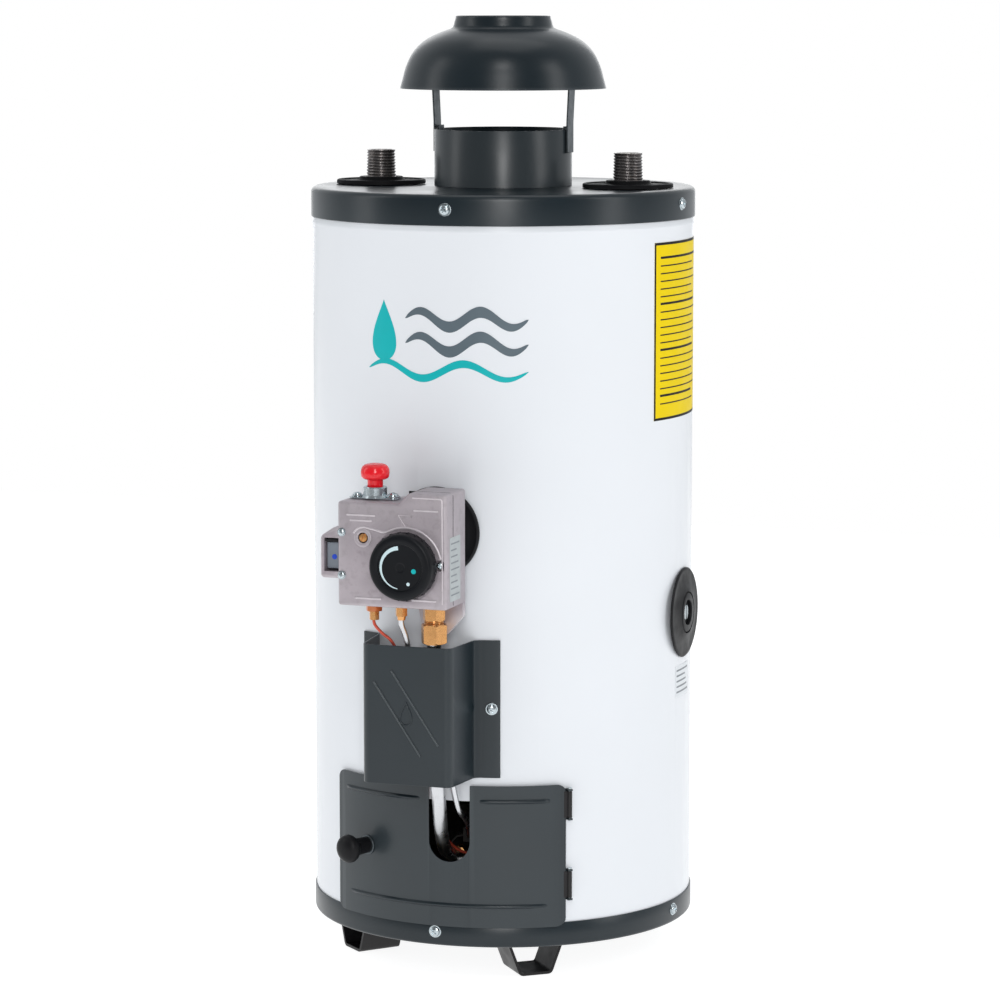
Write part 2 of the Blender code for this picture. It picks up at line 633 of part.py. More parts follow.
def make_valve_fittings():
    top = VALVE_BOTTOM - GAP
    gas = [(0, 301), (9, 301), (11.4, 304.5), (11.4, 317), (9, 319), (9.8, 321), (9.8, top),
           (0, top)]
    hex_fitting("gas_nut", "brass", GAS_NUT, gas, GAS_TUBE_R + 0.9, 14)
    couple = [(0, 321), (4, 321), (4, 328), (7, 328.5), (7, top), (0, top)]
    hex_fitting("thermocouple_nut", "copper", COUPLE_NUT, couple, LEAD_R + 0.5, 6)
    pilot = [(0, 325), (4.5, 325), (5.5, 327), (5.5, top), (0, top)]
    hex_fitting("pilot_nut", "brass", PILOT_NUT, pilot, PILOT_TUBE_R + 0.5, 6)
    place("pilot_adjust_screw", rod(3.75, -8, 1.2), "brass", ROOT,
          frame_on_face(PILOT_SCREW_X, PILOT_SCREW_Z))


# ---- burner ------------------------------------------------------------------
def make_gas_lines():
    gas = [(*GAS_NUT, 312), (*GAS_NUT, 303), (11, -204.5, 290), (10, -200, 240), (9, -192, 182),
           (7, -182, 155), (2, -165, 131), (-2, -146, 112), (-3, -126, 101), (-3, -111, 99)]
    tube_along("gas_tube", gas, GAS_TUBE_R, "aluminium", ROOT, 18)
    pilot = [(*PILOT_NUT, 329), (*PILOT_NUT, 318), (-12, -209, 303), (-8, -198, 262),
             (-2, -184, 228), (13, -181, 202), (18, -180, 176), (20, -170, 152), (20, -150, 138),
             (14, -128, 122), (11, -119, 118)]
    tube_along("pilot_tube", pilot, PILOT_TUBE_R, "aluminium", ROOT, 14)
    lead = [(*COUPLE_NUT, 325), (*COUPLE_NUT, 317), (-33, -212.5, 309), (-25, -208, 300),
            (-18, -198, 275), (-12, -184, 225), (0, -178.5, 190), (-0.5, -172.5, 162),
            (-2, -160, 142), (-4, -146, 126), (2, -128, 108), (14, -117, 101),
            (22.5, -112.5, 102), (24, -112, 111.8)]
    tube_along("thermocouple_lead", lead, LEAD_R, "copper", ROOT, 12)


def make_burner():
    low, top = VENTURI_Z + VENTURI_R + 2, BURNER_TOP
    profile = [(0, top - 4), (BURNER_R - 2, top - 4), (BURNER_R - 2, top - 8), (13, low + 1.2),
               (13, low), (BURNER_R, top - 9), (BURNER_R, top), (0, top)]
    place("main_burner", turned(profile, MEDIUM), "steel", ROOT)
    route = [(-3, -94, VENTURI_Z), (-3, -70, VENTURI_Z), (-2, -35, VENTURI_Z - 1),
             (0, -14, VENTURI_Z)]
    place("burner_venturi", swept_pipe(route, VENTURI_R, VENTURI_R - 1.5, 14), "steel", ROOT)
    orifice = [(0, 0), (7.5, 0), (7.5, 9), (4, 10), (4, 15), (0, 15)]
    place("main_orifice", turned(orifice, 6), "brass", ROOT,
          Matrix.Translation((-3, -110.5, VENTURI_Z)) @ Matrix.Rotation(radians(-90), 4, "X"))


def make_pilot():
    body = place("pilot_burner", rod(5.5, 112, 138), "steel", ROOT,
                 Matrix.Translation((12, -109.5, 0)))
    fuse(body, box((5, -118, 112), (19, -112, 124)))
    place("thermocouple_tip", rod(2.6, 112.5, 140, 12), "steel", ROOT,
          Matrix.Translation((24, -112, 0)))


def make_burner_bracket():
    """An angle plate that stands on the heat shield and carries the burner's front end."""
    foot = 56.3
    path = [(-135, foot), (-96, foot), (-96, 84)]
    bracket = place("burner_bracket", prism(strip(path, 1.5), -22, 16), "steel", ROOT,
                    Matrix(((0, 0, 1, 0), (1, 0, 0, 0), (0, 1, 0, 0), (0, 0, 0, 1))))
    bore(bracket, 3, -5, 5, Matrix.Translation((-3, -118, foot)), 12)


# ---- cover and door ------------------------------------------------------------
def make_burner_cover():
    """Bent sheet over the gas lines: flange, side, front, side, flange."""
    seat = JACKET_R + 0.6
    bend = 6.0
    right = [at_bearing(seat, b).to_2d()[:] for b in (18.7, 16.5, 14.2, 12.0)]
    left = [at_bearing(seat, b).to_2d()[:] for b in (-19.0, -21.2, -23.4, -25.6)]
    inner_front = COVER_FRONT_Y + PLATE
    front_right = arc((COVER_RIGHT_X - PLATE - bend, inner_front + bend), bend, 0, -90, 4)
    front_left = arc((COVER_LEFT_X + PLATE + bend, inner_front + bend), bend, -90, -180, 4)
    path = right + front_right + front_left + left
    cover = place("burner_cover", prism(strip(path, PLATE), COVER_BOTTOM, COVER_TOP),
                  "grey_enamel", ROOT)
    for bearing in COVER_SCREW_BEARINGS.values():
        bore(cover, 2.4, -5, 5, outward(seat, bearing, COVER_SCREW_Z), 8)
    head = [(0, -3.1), (1.9, -3.1), (1.9, 0), (5.5, 0), (5.5, 1), (4.2, 2.6), (0, 3)]
    for name, bearing in COVER_SCREW_BEARINGS.items():
        place(f"cover_screw_{name}", turned(head, SMALL), "zinc", ROOT,
              outward(seat + PLATE + 0.6, bearing, COVER_SCREW_Z))


def hinge_point(z=0.0):
    return at_bearing(HINGE_R, HINGE_BEARING, z)


def make_door():
    """A curved sheet with a U-shaped slot for the gas lines, and two hinge barrels."""
    steps, first, last = 24, -42.0, 42.0
    bearings = [first + (last - first) * k / steps for k in range(steps + 1)]
    outer = [at_bearing(DOOR_R + DOOR_SHEET, b).to_2d()[:] for b in bearings]
    inner = [at_bearing(DOOR_R, b).to_2d()[:] for b in bearings]
    door = place("access_door", prism(outer + inner[::-1], DOOR_BOTTOM - 5, DOOR_TOP + 5),
                 "grey_enamel", DOOR)
    outline = rounded_box(DOOR_LEFT_X, DOOR_BOTTOM, DOOR_RIGHT_X, DOOR_TOP, 7, 4)
    modify(door, facing_prism(outline, -200, -60), "INTERSECT")
    slot = [(DOOR_SLOT_X + DOOR_SLOT_HALF, DOOR_TOP + 9),
            (DOOR_SLOT_X - DOOR_SLOT_HALF, DOOR_TOP + 9)]
    slot += arc((DOOR_SLOT_X, DOOR_SLOT_Z), DOOR_SLOT_HALF, 180, 360, 8)
    cut(door, facing_prism(slot, -200, -140))
    bore(door, 3.0, -8, 8, outward(DOOR_R, KNOB_BEARING, KNOB_Z))
    edge = degrees(atan2(DOOR_RIGHT_X, sqrt(DOOR_R ** 2 - DOOR_RIGHT_X ** 2)))
    leaf = [at_bearing(r, b).to_2d()[:] for r, b in
            ((DOOR_R + 0.05, edge - 0.8), (DOOR_R + 0.5, HINGE_BEARING - 0.1),
             (DOOR_R + 1.6, HINGE_BEARING - 0.1), (DOOR_R + DOOR_SHEET - 0.05, edge - 0.8))]
    for low, high in HINGE_SPANS.values():
        fuse(door, prism(leaf, low, high))
        fuse(door, rod(BARREL_R, low, high, 12), Matrix.Translation(hinge_point()))
        bore(door, HINGE_PIN_R + 0.35, low - 3, high + 3, Matrix.Translation(hinge_point()), 12)


def make_hinges():
    """Brackets on the jacket, their leaves under the door, each with a pin in its ears."""
    for name, (low, high) in HINGE_SPANS.items():
        low_ear, high_ear, ear_sheet, half_ear = low - 0.5, high + 0.5, 1.6, 0.68
        first, last = HINGE_BEARING - half_ear, HINGE_BEARING + half_ear
        back = [at_bearing(r, b).to_2d()[:] for r, b in
                ((JACKET_R + 0.3, 33.0), (JACKET_R + 0.3, 36.0), (JACKET_R + 0.3, last),
                 (JACKET_R + 1.3, last), (JACKET_R + 1.3, 36.0), (JACKET_R + 1.3, 33.0))]
        ear = [at_bearing(r, b).to_2d()[:] for r, b in
               ((JACKET_R + 0.6, first), (JACKET_R + 0.6, last - 0.05),
                (HINGE_R + 2.0, last - 0.05), (HINGE_R + 2.0, first))]
        bracket = place(f"hinge_bracket_{name}",
                        prism(back, low_ear - ear_sheet, high_ear + ear_sheet),
                        "grey_enamel", ROOT)
        for z0, z1 in ((low_ear - ear_sheet + 0.1, low_ear), (high_ear, high_ear + ear_sheet - 0.1)):
            fuse(bracket, prism(ear, z0, z1))
        bore(bracket, HINGE_PIN_R + 0.3, low_ear - 4, high_ear + 4,
             Matrix.Translation(hinge_point()), 12)
        pin = [(0, low_ear - 2.3), (HINGE_PIN_R, low_ear - 2.3), (HINGE_PIN_R, high_ear + 1.9),
               (1.7, high_ear + 1.9), (1.7, high_ear + 2.8), (0, high_ear + 2.8)]
        place(f"hinge_pin_{name}", turned(pin, 12), "zinc", ROOT,
              Matrix.Translation(hinge_point()))


def make_door_knob():
    frame = outward(DOOR_R + DOOR_SHEET + GAP, KNOB_BEARING, KNOB_Z)
    collar = ring(3.1, 8.4, 0, 1.4)
    place("knob_collar", turned(collar, 24), "zinc", DOOR, frame)
    knob = [(0, -5), (2.6, -5), (2.6, 1.8), (7.2, 1.8), (7.4, 9), (8.2, 16.5), (11.8, 20.8),
            (12.4, 23), (11.8, 26.2), (7.5, 29.4), (0, 30.4)]
    place("door_knob", turned(knob, 24), "black_plastic", DOOR, frame)


# ---- drain -----------------------------------------------------------------------
def make_drain():
    """A valve let into its escutcheon, its slotted stem sunk below the outlet's face."""
    disc_profile = port_escutcheon(DRAIN_ESCUTCHEON_R, 18.2, 4.4)
    place("drain_escutcheon", turned(disc_profile, MEDIUM), "black_plastic", ROOT,
          outward(JACKET_R + 0.5, 90, DRAIN_Z))
    start = 139.8
    face = DRAIN_FACE_X - start
    body = [(5, 0), (10.6, 0), (10.6, 28.5), (17.6, 28.5), (17.6, face - 1), (16.6, face),
            (11, face), (11, face - 3), (7.4, face - 3), (7.4, face - 9), (5, face - 9)]
    place("drain_valve", turned(body, 24), "black_plastic", ROOT, outward(start, 90, DRAIN_Z))
    stem_frame = outward(DRAIN_FACE_X, 90, DRAIN_Z)
    stem = place("drain_stem", rod(7.0, -8.6, -2, 24), "zinc", DRAIN, stem_frame)
    cut(stem, box((-1.1, -20, -4), (1.1, 20, 4)), stem_frame)


clear_scene()
ROOT = empty("water_heater")
HOOD = empty("hood_lift", ROOT)
DOOR = empty("door_hinge", ROOT, hinge_point())
DIAL = empty("dial_turn", ROOT, (DIAL_X, DIAL_FACE_Y, DIAL_Z))
BUTTON = empty("button_press", ROOT, (BUTTON_X, BUTTON_Y, BUTTON_TOP))
DRAIN = empty("drain_turn", ROOT, (DRAIN_FACE_X, 0, DRAIN_Z))
make_jacket()
make_base_pan()
make_top_cover()
make_feet()
make_flue_collar()
make_hood()
make_hood_straps()
make_tank()
make_insulation()
make_chamber()
make_heat_shield()
make_flue()
make_flue_baffle()
make_water_connections()
make_thermostat()
make_valve_body()
make_inlet()
make_dial()
make_pilot_button()
make_valve_fittings()
make_gas_lines()
make_burner()
make_pilot()
make_burner_bracket()
make_burner_cover()
make_door()
make_hinges()
make_door_knob()
make_drain()
bpy.context.view_layer.update()
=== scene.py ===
"""Looks of a small storage gas water heater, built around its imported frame.

Sizes are in millimetres from the floor and from the heater's own vertical axis, its front
facing -Y; bearings are in degrees from the front, positive towards +X.
"""

from math import atan2, ceil, cos, degrees, hypot, pi, radians, sin, sqrt

import bmesh
import bpy
from mathutils import Matrix, Vector


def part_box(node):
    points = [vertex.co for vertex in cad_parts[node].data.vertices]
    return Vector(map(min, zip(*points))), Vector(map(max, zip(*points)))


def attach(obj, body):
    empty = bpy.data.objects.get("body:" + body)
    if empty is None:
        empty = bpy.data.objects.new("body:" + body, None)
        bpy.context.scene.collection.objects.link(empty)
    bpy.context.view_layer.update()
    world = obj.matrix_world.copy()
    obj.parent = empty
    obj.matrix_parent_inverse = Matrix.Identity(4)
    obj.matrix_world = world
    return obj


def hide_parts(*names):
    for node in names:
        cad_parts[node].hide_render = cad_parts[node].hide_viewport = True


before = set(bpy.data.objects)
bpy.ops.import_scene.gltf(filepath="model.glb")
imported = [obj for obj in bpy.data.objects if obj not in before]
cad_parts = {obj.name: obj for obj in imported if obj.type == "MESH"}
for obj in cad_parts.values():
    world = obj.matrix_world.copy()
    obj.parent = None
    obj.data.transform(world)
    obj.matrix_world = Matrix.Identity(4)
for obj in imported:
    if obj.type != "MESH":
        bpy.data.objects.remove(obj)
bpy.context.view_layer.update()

MM = 0.001


# ---- places read from the frame ------------------------------------------------
def node_box(node):
    """A CAD node's lowest and highest corner, in mm from the heater's axis."""
    low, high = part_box(node)
    return (low - AXIS) / MM, (high - AXIS) / MM


_low, _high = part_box("jacket")
AXIS = Vector(((_low.x + _high.x) / 2, (_low.y + _high.y) / 2, 0))
JACKET_R = node_box("jacket")[1].x
JACKET_LOW, JACKET_HIGH = node_box("jacket")[0].z, node_box("jacket")[1].z
LID_LOW, LID_TOP = node_box("top_cover")[0].z, node_box("top_cover")[1].z
PAN_LOW, PAN_HIGH = node_box("base_pan")[0].z, node_box("base_pan")[1].z
COLLAR_R, COLLAR_TOP = node_box("flue_collar")[1].x, node_box("flue_collar")[1].z
RIM_Z, LIP_Z = node_box("hood_bell")[0].z, node_box("hood_bell")[1].z
SPUD_Z = sum(p.z for p in node_box("valve_escutcheon")) / 2
DRAIN_Z = sum(p.z for p in node_box("drain_escutcheon")) / 2
PORT_DISC_R = {name: (node_box(f"{name}_escutcheon")[1].z - node_box(f"{name}_escutcheon")[0].z) / 2
               for name in ("valve", "drain")}
DRAIN_FACE_X, STEM_X = node_box("drain_valve")[1].x, node_box("drain_stem")[1].x
WATER_X = sum(p.x for p in node_box("hot_nipple")) / 2
NIPPLE_R = node_box("hot_nipple")[1].x - WATER_X
NIPPLE_TOP = node_box("hot_nipple")[1].z
VALVE_LOW, VALVE_HIGH = node_box("gas_valve_body")
DIAL_LOW, DIAL_HIGH = node_box("temperature_dial")
DIAL_X, DIAL_Z = (DIAL_LOW.x + DIAL_HIGH.x) / 2, (DIAL_LOW.z + DIAL_HIGH.z) / 2
BUTTON_LOW, BUTTON_HIGH = node_box("pilot_button")
BUTTON_X, BUTTON_Y = (BUTTON_LOW.x + BUTTON_HIGH.x) / 2, (BUTTON_LOW.y + BUTTON_HIGH.y) / 2
INLET_LOW, INLET_HIGH = node_box("inlet_flange")
COVER_LOW, COVER_HIGH = node_box("burner_cover")
DOOR_LOW, DOOR_HIGH = node_box("access_door")
KNOB_Z = sum(p.z for p in node_box("door_knob")) / 2

# sizes that the frame's boxes don't give
VALVE_BOTTOM, VALVE_STEP_Z = 335.0, 423.0
FRONT_Y = VALVE_LOW.y
SHEET, SEAM_HALF, RIVETS, RIVET_PITCH = 1.0, 7.0, 7, 92
DOOR_OPENING, VALVE_HOLE_R, DRAIN_HOLE_R = (-83.5, 62, 83.5, 159), 17, 14
LID_R = JACKET_R + 1.3
DOOR_R, DOOR_SHEET = 169.5, 1.2
DOOR_EDGES = (-103.5, 104.5)
SLOT_X, SLOT_HALF, SLOT_Z = 11.0, 18.25, 124.0
HINGE_BEARING, HINGE_R, BARREL_R, PIN_R = 39.0, 171.4, 1.9, 0.9
HINGE_SPANS = ((144.0, 167.0), (74.0, 97.0))
FOOT_BEARINGS, FOOT_TURN, FOOT_OUTER_R, FOOT_LENGTH = (31.0, 130.0, -149.0, -50.0), 9.0, 143.0, 39.0
KNOB_BEARING = -23.9
COVER_SIDES, COVER_FRONT = (-51.5, 29.5), -214.5
COVER_SCREWS, COVER_SCREW_Z = {"left": -22.4, "right": 16.2}, 240.0
GAS_NUT, COUPLE_NUT, PILOT_NUT = (11.8, -207.0), (-39.0, -215.0), (-14.5, -215.0)
PILOT_SCREW = (-40.0, 393.0)
CAMERA_BEARING, CAMERA_DISTANCE, CAMERA_HEIGHT, CAMERA_LENS = 19.5, 3319.0, 843.0, 135.5
AIM_SIDE, AIM_HEIGHT = -2.8, 396.6
# name, bearing from the camera's, distance, height, width and tallness in metres, power in watts
LAMPS = (("left", -88.0, 1.9, 1.15, 0.5, 1.9, 5.0), ("right", 66.0, 1.9, 1.15, 0.55, 1.9, 8.0),
         ("front", 0.0, 3.7, 1.50, 0.7, 1.9, 44.0), ("high", 0.0, 1.7, 2.20, 0.45, 0.45, 5.0),
         ("rear", 180.0, 2.2, 1.00, 1.6, 1.4, 8.0))
GREY = (0.0065, 0.0135, 0.0185)


# ---- materials -------------------------------------------------------------------
def noise(nodes, links, where, scale, detail=4.0, stretch=(1, 1, 1)):
    mapping = nodes.new("ShaderNodeMapping")
    mapping.inputs["Scale"].default_value = stretch
    links.new(where, mapping.inputs["Vector"])
    texture = nodes.new("ShaderNodeTexNoise")
    texture.inputs["Scale"].default_value = scale
    texture.inputs["Detail"].default_value = detail
    links.new(mapping.outputs["Vector"], texture.inputs["Vector"])
    return texture.outputs["Fac"]


def spread(nodes, links, value, low, high, start=0.3, end=0.7):
    """Map a noise value onto a range."""
    remap = nodes.new("ShaderNodeMapRange")
    remap.inputs["From Min"].default_value = start
    remap.inputs["From Max"].default_value = end
    remap.inputs["To Min"].default_value = low
    remap.inputs["To Max"].default_value = high
    links.new(value, remap.inputs["Value"])
    return remap.outputs["Result"]


def blend_colour(nodes, links, amount, first, second):
    mix = nodes.new("ShaderNodeMix")
    mix.data_type = "RGBA"
    links.new(amount, mix.inputs["Factor"])
    for socket, colour in ((mix.inputs["A"], first), (mix.inputs["B"], second)):
        if hasattr(colour, "links"):
            links.new(colour, socket)
        else:
            socket.default_value = (*colour, 1.0)
    return mix.outputs["Result"]


def surface(name, colour, roughness, metallic=0.0, vary=0.08, patch=35.0, grain=900.0,
            bump=0.05, depth=0.0002, coat=0.0, edge_wear_and_sheen=None, stain=None, stretch=(1, 1, 1),
            specular=0.5, glow=0.0, uneven=0.2):
    """A procedural finish: mottled colour, uneven gloss, fine relief, edges tinted lighter (wear on most
    finishes, a painted highlight on the cast aluminium), stains.
    """
    made = bpy.data.materials.new(name)
    made.use_nodes = True
    nodes, links = made.node_tree.nodes, made.node_tree.links
    shader = nodes["Principled BSDF"]
    shader.inputs["Metallic"].default_value = metallic
    shader.inputs["Coat Weight"].default_value = coat
    shader.inputs["Coat Roughness"].default_value = 0.08
    shader.inputs["Specular IOR Level"].default_value = specular
    shader.inputs["Emission Color"].default_value = (1.0, 1.0, 1.0, 1.0)
    shader.inputs["Emission Strength"].default_value = glow
    place = nodes.new("ShaderNodeTexCoord").outputs["Object"]
    mottle = spread(nodes, links, noise(nodes, links, place, patch), 0.0, 1.0)
    dark = [c * (1 - vary) for c in colour]
    light = [min(1.0, c * (1 + vary)) for c in colour]
    shade = blend_colour(nodes, links, mottle, dark, light)
    if stain:
        tint, amount = stain
        spots = spread(nodes, links, noise(nodes, links, place, patch * 4, 8), 0.0, amount, 0.5, 0.75)
        shade = blend_colour(nodes, links, spots, shade, tint)
    # edges tinted lighter by pointiness: real wear on most finishes, painted highlight on the cast
    # aluminium's edges
    if edge_wear_and_sheen:
        tint, amount = edge_wear_and_sheen
        edge = nodes.new("ShaderNodeNewGeometry").outputs["Pointiness"]
        edge_wear_and_sheen_mask = spread(nodes, links, edge, 0.0, amount, 0.52, 0.62)
        shade = blend_colour(nodes, links, edge_wear_and_sheen_mask, shade, tint)
    links.new(shade, shader.inputs["Base Color"])
    gloss = spread(nodes, links, noise(nodes, links, place, patch * 2.5, 6),
                   roughness * (1 - uneven), min(1.0, roughness * (1 + uneven)))
    links.new(gloss, shader.inputs["Roughness"])
    relief = nodes.new("ShaderNodeBump")
    relief.inputs["Strength"].default_value = bump
    relief.inputs["Distance"].default_value = depth
    links.new(noise(nodes, links, place, grain, 3, stretch), relief.inputs["Height"])
    links.new(relief.outputs["Normal"], shader.inputs["Normal"])
    return made


def make_materials():
    """Every finish by name: colour, roughness, metallic, then what differs from the usual."""
    bare, rubbed = (0.16, 0.18, 0.19), (0.03, 0.03, 0.033)
    black, print_film = (0.006, 0.006, 0.007), {"bump": 0.02, "specular": 0.2}
    moulded = {"vary": 0.2, "grain": 1300, "bump": 0.12}
    return {
        "white_enamel": surface("white_enamel_gloss", (0.775, 0.80, 0.835), 0.26, vary=0.012, patch=9,
            grain=260, bump=0.04, specular=0.3, uneven=0.05, stain=((0.72, 0.75, 0.78), 0.05)),
        "grey_enamel": surface("grey_enamel_gloss", GREY, 0.30, vary=0.10, patch=14, grain=420,
            bump=0.08, specular=0.45, uneven=0.08, edge_wear_and_sheen=(bare, 0.25)),
        "black_plastic": surface("black_moulded", black, 0.42, specular=0.16, edge_wear_and_sheen=(rubbed, 0.5),
            **moulded),
        "disc_black": surface("disc_black", black, 0.55, specular=0.05, edge_wear_and_sheen=(rubbed, 0.4), **moulded),
        "foot_enamel": surface("black_strap_enamel", (0.009, 0.008, 0.009), 0.38, vary=0.2, grain=700,
            bump=0.12, specular=0.3, edge_wear_and_sheen=((0.05, 0.05, 0.05), 0.4)),
        "dial_black": surface("dial_black", (0.006, 0.007, 0.009), 0.34, vary=0.15, grain=1500,
            bump=0.06, specular=0.18, edge_wear_and_sheen=((0.04, 0.04, 0.045), 0.4)),
        "red_plastic": surface("red_moulded", (0.84, 0.008, 0.018), 0.20, vary=0.05, bump=0.03,
            specular=0.5, edge_wear_and_sheen=((0.95, 0.12, 0.13), 0.3)),
        "grey_plastic": surface("grey_moulded", (0.20, 0.225, 0.26), 0.40, vary=0.08, bump=0.08),
        "natural_plastic": surface("natural_moulded", (0.72, 0.72, 0.66), 0.45, vary=0.06),
        # its pale edge tint is a painted highlight along the casting's chamfers; the darker stain patches
        # are random
        "cast_aluminium": surface("cast_aluminium_skin", (0.39, 0.345, 0.375), 0.44, 0.35, vary=0.10,
            patch=50, grain=1500, bump=0.30, depth=0.00025, specular=0.4,
            edge_wear_and_sheen=((0.68, 0.64, 0.66), 0.8), stain=((0.20, 0.175, 0.18), 0.45)),
        # a lighter, shinier copy of the cast aluminium: painted highlight on the raised ribs, pointer and
        # bars
        "casting_painted_highlight": surface("casting_painted_highlight", (0.66, 0.61, 0.64), 0.34, 0.5, vary=0.10, patch=90,
            grain=1500, bump=0.2),
        "silver_label": surface("silver_label", (0.44, 0.475, 0.48), 0.35, 0.2, vary=0.08, patch=120,
            bump=0.03),
        "aluminium": surface("drawn_aluminium", (0.62, 0.63, 0.65), 0.30, 1.0, vary=0.06, grain=500,
            bump=0.08, stain=((0.42, 0.42, 0.42), 0.3)),
        "zinc": surface("zinc_plate", (0.50, 0.56, 0.59), 0.24, 1.0, vary=0.10, patch=120, grain=1200,
            bump=0.08, stain=((0.36, 0.38, 0.34), 0.4)),
        "strap_steel": surface("strap_steel", (0.085, 0.10, 0.11), 0.34, 0.7, vary=0.15, patch=60,
            grain=700, bump=0.10, stain=((0.20, 0.22, 0.24), 0.4)),
        "steel": surface("mill_steel", (0.30, 0.29, 0.28), 0.45, 1.0, vary=0.12, patch=30, grain=700,
            bump=0.15, stain=((0.16, 0.11, 0.08), 0.5)),
        "pipe_steel": surface("black_pipe_steel", (0.115, 0.105, 0.105), 0.30, 0.8, vary=0.35, patch=90,
            grain=900, bump=0.30, edge_wear_and_sheen=((0.60, 0.57, 0.55), 0.8), stain=((0.30, 0.24, 0.19), 0.35)),
        "brass": surface("machined_brass", (0.66, 0.34, 0.13), 0.26, 1.0, vary=0.08, patch=80,
            grain=1500, bump=0.06, stain=((0.40, 0.19, 0.07), 0.4)),
        "copper": surface("drawn_copper", (0.66, 0.24, 0.11), 0.32, 1.0, vary=0.12, patch=80, grain=900,
            bump=0.08, stain=((0.32, 0.12, 0.06), 0.4)),
        "lead": surface("lead_sleeve", (0.55, 0.08, 0.045), 0.38, 0.35, vary=0.15, patch=150),
        "magnesium": surface("cast_magnesium", (0.42, 0.42, 0.42), 0.6, 1.0, vary=0.1, bump=0.2),
        "foam": surface("foamed_insulation", (0.70, 0.58, 0.30), 0.9, vary=0.12, patch=60, grain=300,
            bump=0.5, depth=0.001),
        "soot": surface("sooted_steel", (0.030, 0.028, 0.026), 0.75, 0.3, vary=0.3, patch=40, bump=0.3),
        "yellow_label": surface("yellow_film", (0.86, 0.64, 0.002), 0.45, vary=0.02, grain=300,
            bump=0.02, specular=0.08),
        "black_ink": surface("black_ink", (0.015, 0.015, 0.015), 0.5, vary=0.1, bump=0.02,
            specular=0.1),
        "white_label": surface("white_film", (0.74, 0.77, 0.80), 0.4, vary=0.02, grain=300,
            **print_film),
        "grey_ink": surface("grey_ink", (0.24, 0.26, 0.28), 0.45, vary=0.05, **print_film),
        "mark_grey": surface("mark_grey", (0.115, 0.150, 0.175), 0.35, vary=0.05, **print_film),
        "mark_teal": surface("mark_teal", (0.008, 0.46, 0.48), 0.35, vary=0.05, **print_film),
        "dial_white": surface("dial_white", (0.62, 0.78, 0.82), 0.4, vary=0.04, bump=0.02),
        "blue_dot": surface("blue_dot", (0.01, 0.06, 0.55), 0.35, vary=0.05, bump=0.02),
        "floor": surface("floor_sweep", (0.40, 0.405, 0.41), 0.8, vary=0.01, patch=3, grain=60,
            bump=0.02, specular=0.05, glow=0.90),
    }


# ---- mesh helpers ----------------------------------------------------------------
shift = Matrix.Translation


def spin(angle):
    """A turn about Z, in degrees."""
    return Matrix.Rotation(radians(angle), 4, "Z")


OFF_FACET = Matrix.Rotation(0.01, 4, "Z")      # keeps a cutter's edges off the target's own


def at_bearing(radius, bearing, z=0.0):
    turn = radians(bearing)
    return Vector((radius * sin(turn), -radius * cos(turn), z))


def flat_xy(radius, bearing):
    return at_bearing(radius, bearing).to_2d()[:]


ALONG_FRONT = Matrix.Rotation(radians(90), 4, "X")     # local +Z points to -Y


def outward(radius, bearing, z):
    """A frame on the heater's side whose +Z points straight out at this bearing."""
    turn = spin(bearing)
    return shift(at_bearing(radius, bearing, z)) @ turn @ ALONG_FRONT


def on_front(x, z, y=None):
    """A frame on the gas valve's front face, +Z pointing forwards."""
    return shift((x, FRONT_Y if y is None else y, z)) @ ALONG_FRONT


def piece(name, bm, finish, body="heater", place=None, replaces=(), sharp=35, bevel=0.0,
          bevel_steps=3):
    """Put a bmesh made in mm into the scene as a finished piece that rides on a body."""
    if place:
        bmesh.ops.transform(bm, matrix=place, verts=bm.verts)
    bmesh.ops.transform(bm, matrix=Matrix.Translation(AXIS) @ Matrix.Scale(MM, 4), verts=bm.verts)
    bmesh.ops.recalc_face_normals(bm, faces=bm.faces)
    if bm.calc_volume(signed=True) < 0:
        bmesh.ops.reverse_faces(bm, faces=bm.faces)
    mesh = bpy.data.meshes.new(name)
    bm.to_mesh(mesh)
    bm.free()
    mesh.shade_smooth()
    mesh.set_sharp_from_angle(angle=radians(sharp))
    made = bpy.data.objects.new(name, mesh)
    bpy.context.scene.collection.objects.link(made)
    mesh.materials.append(FINISH[finish])
    if bevel:
        round_edges(made, bevel, bevel_steps)
    if body:
        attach(made, body)
    if replaces:
        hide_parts(*replaces)
    return made


def round_edges(target, width, steps=3, angle=40):
    bevel = target.modifiers.new("round", "BEVEL")
    bevel.width = width * MM
    bevel.segments = steps
    bevel.limit_method = "ANGLE"
    bevel.angle_limit = radians(angle)
    bevel.harden_normals = False


def shape(target, tool_bm, operation="DIFFERENCE", place=None):
    """Cut or join a tool solid, and leave the result as the target's own mesh."""
    tool = piece("tool", tool_bm, "steel", body=None, place=place)
    step = target.modifiers.new("shape", "BOOLEAN")
    step.operation = operation
    step.object = tool
    bpy.context.view_layer.update()
    shaped = bpy.data.meshes.new_from_object(target.evaluated_get(bpy.context.evaluated_depsgraph_get()))
    target.modifiers.clear()
    target.data = shaped
    finish = shaped.materials[0]
    shaped.materials.clear()
    shaped.materials.append(finish)
    shaped.polygons.foreach_set("material_index", [0] * len(shaped.polygons))
    bpy.data.objects.remove(tool, do_unlink=True)
    shaped.shade_smooth()
    shaped.set_sharp_from_angle(angle=radians(30))
    return target


def link_rings(bm, low, high):
    """Join two closed rings of equally many vertices with a band of quads."""
    for k in range(len(low)):
        after = (k + 1) % len(low)
        bm.faces.new((low[k], low[after], high[after], high[k]))


def circle(bm, radius, z, segments):
    """A ring of new vertices about Z, its first one to the front."""
    return [bm.verts.new((radius * sin(2 * pi * k / segments), -radius * cos(2 * pi * k / segments), z))
            for k in range(segments)]


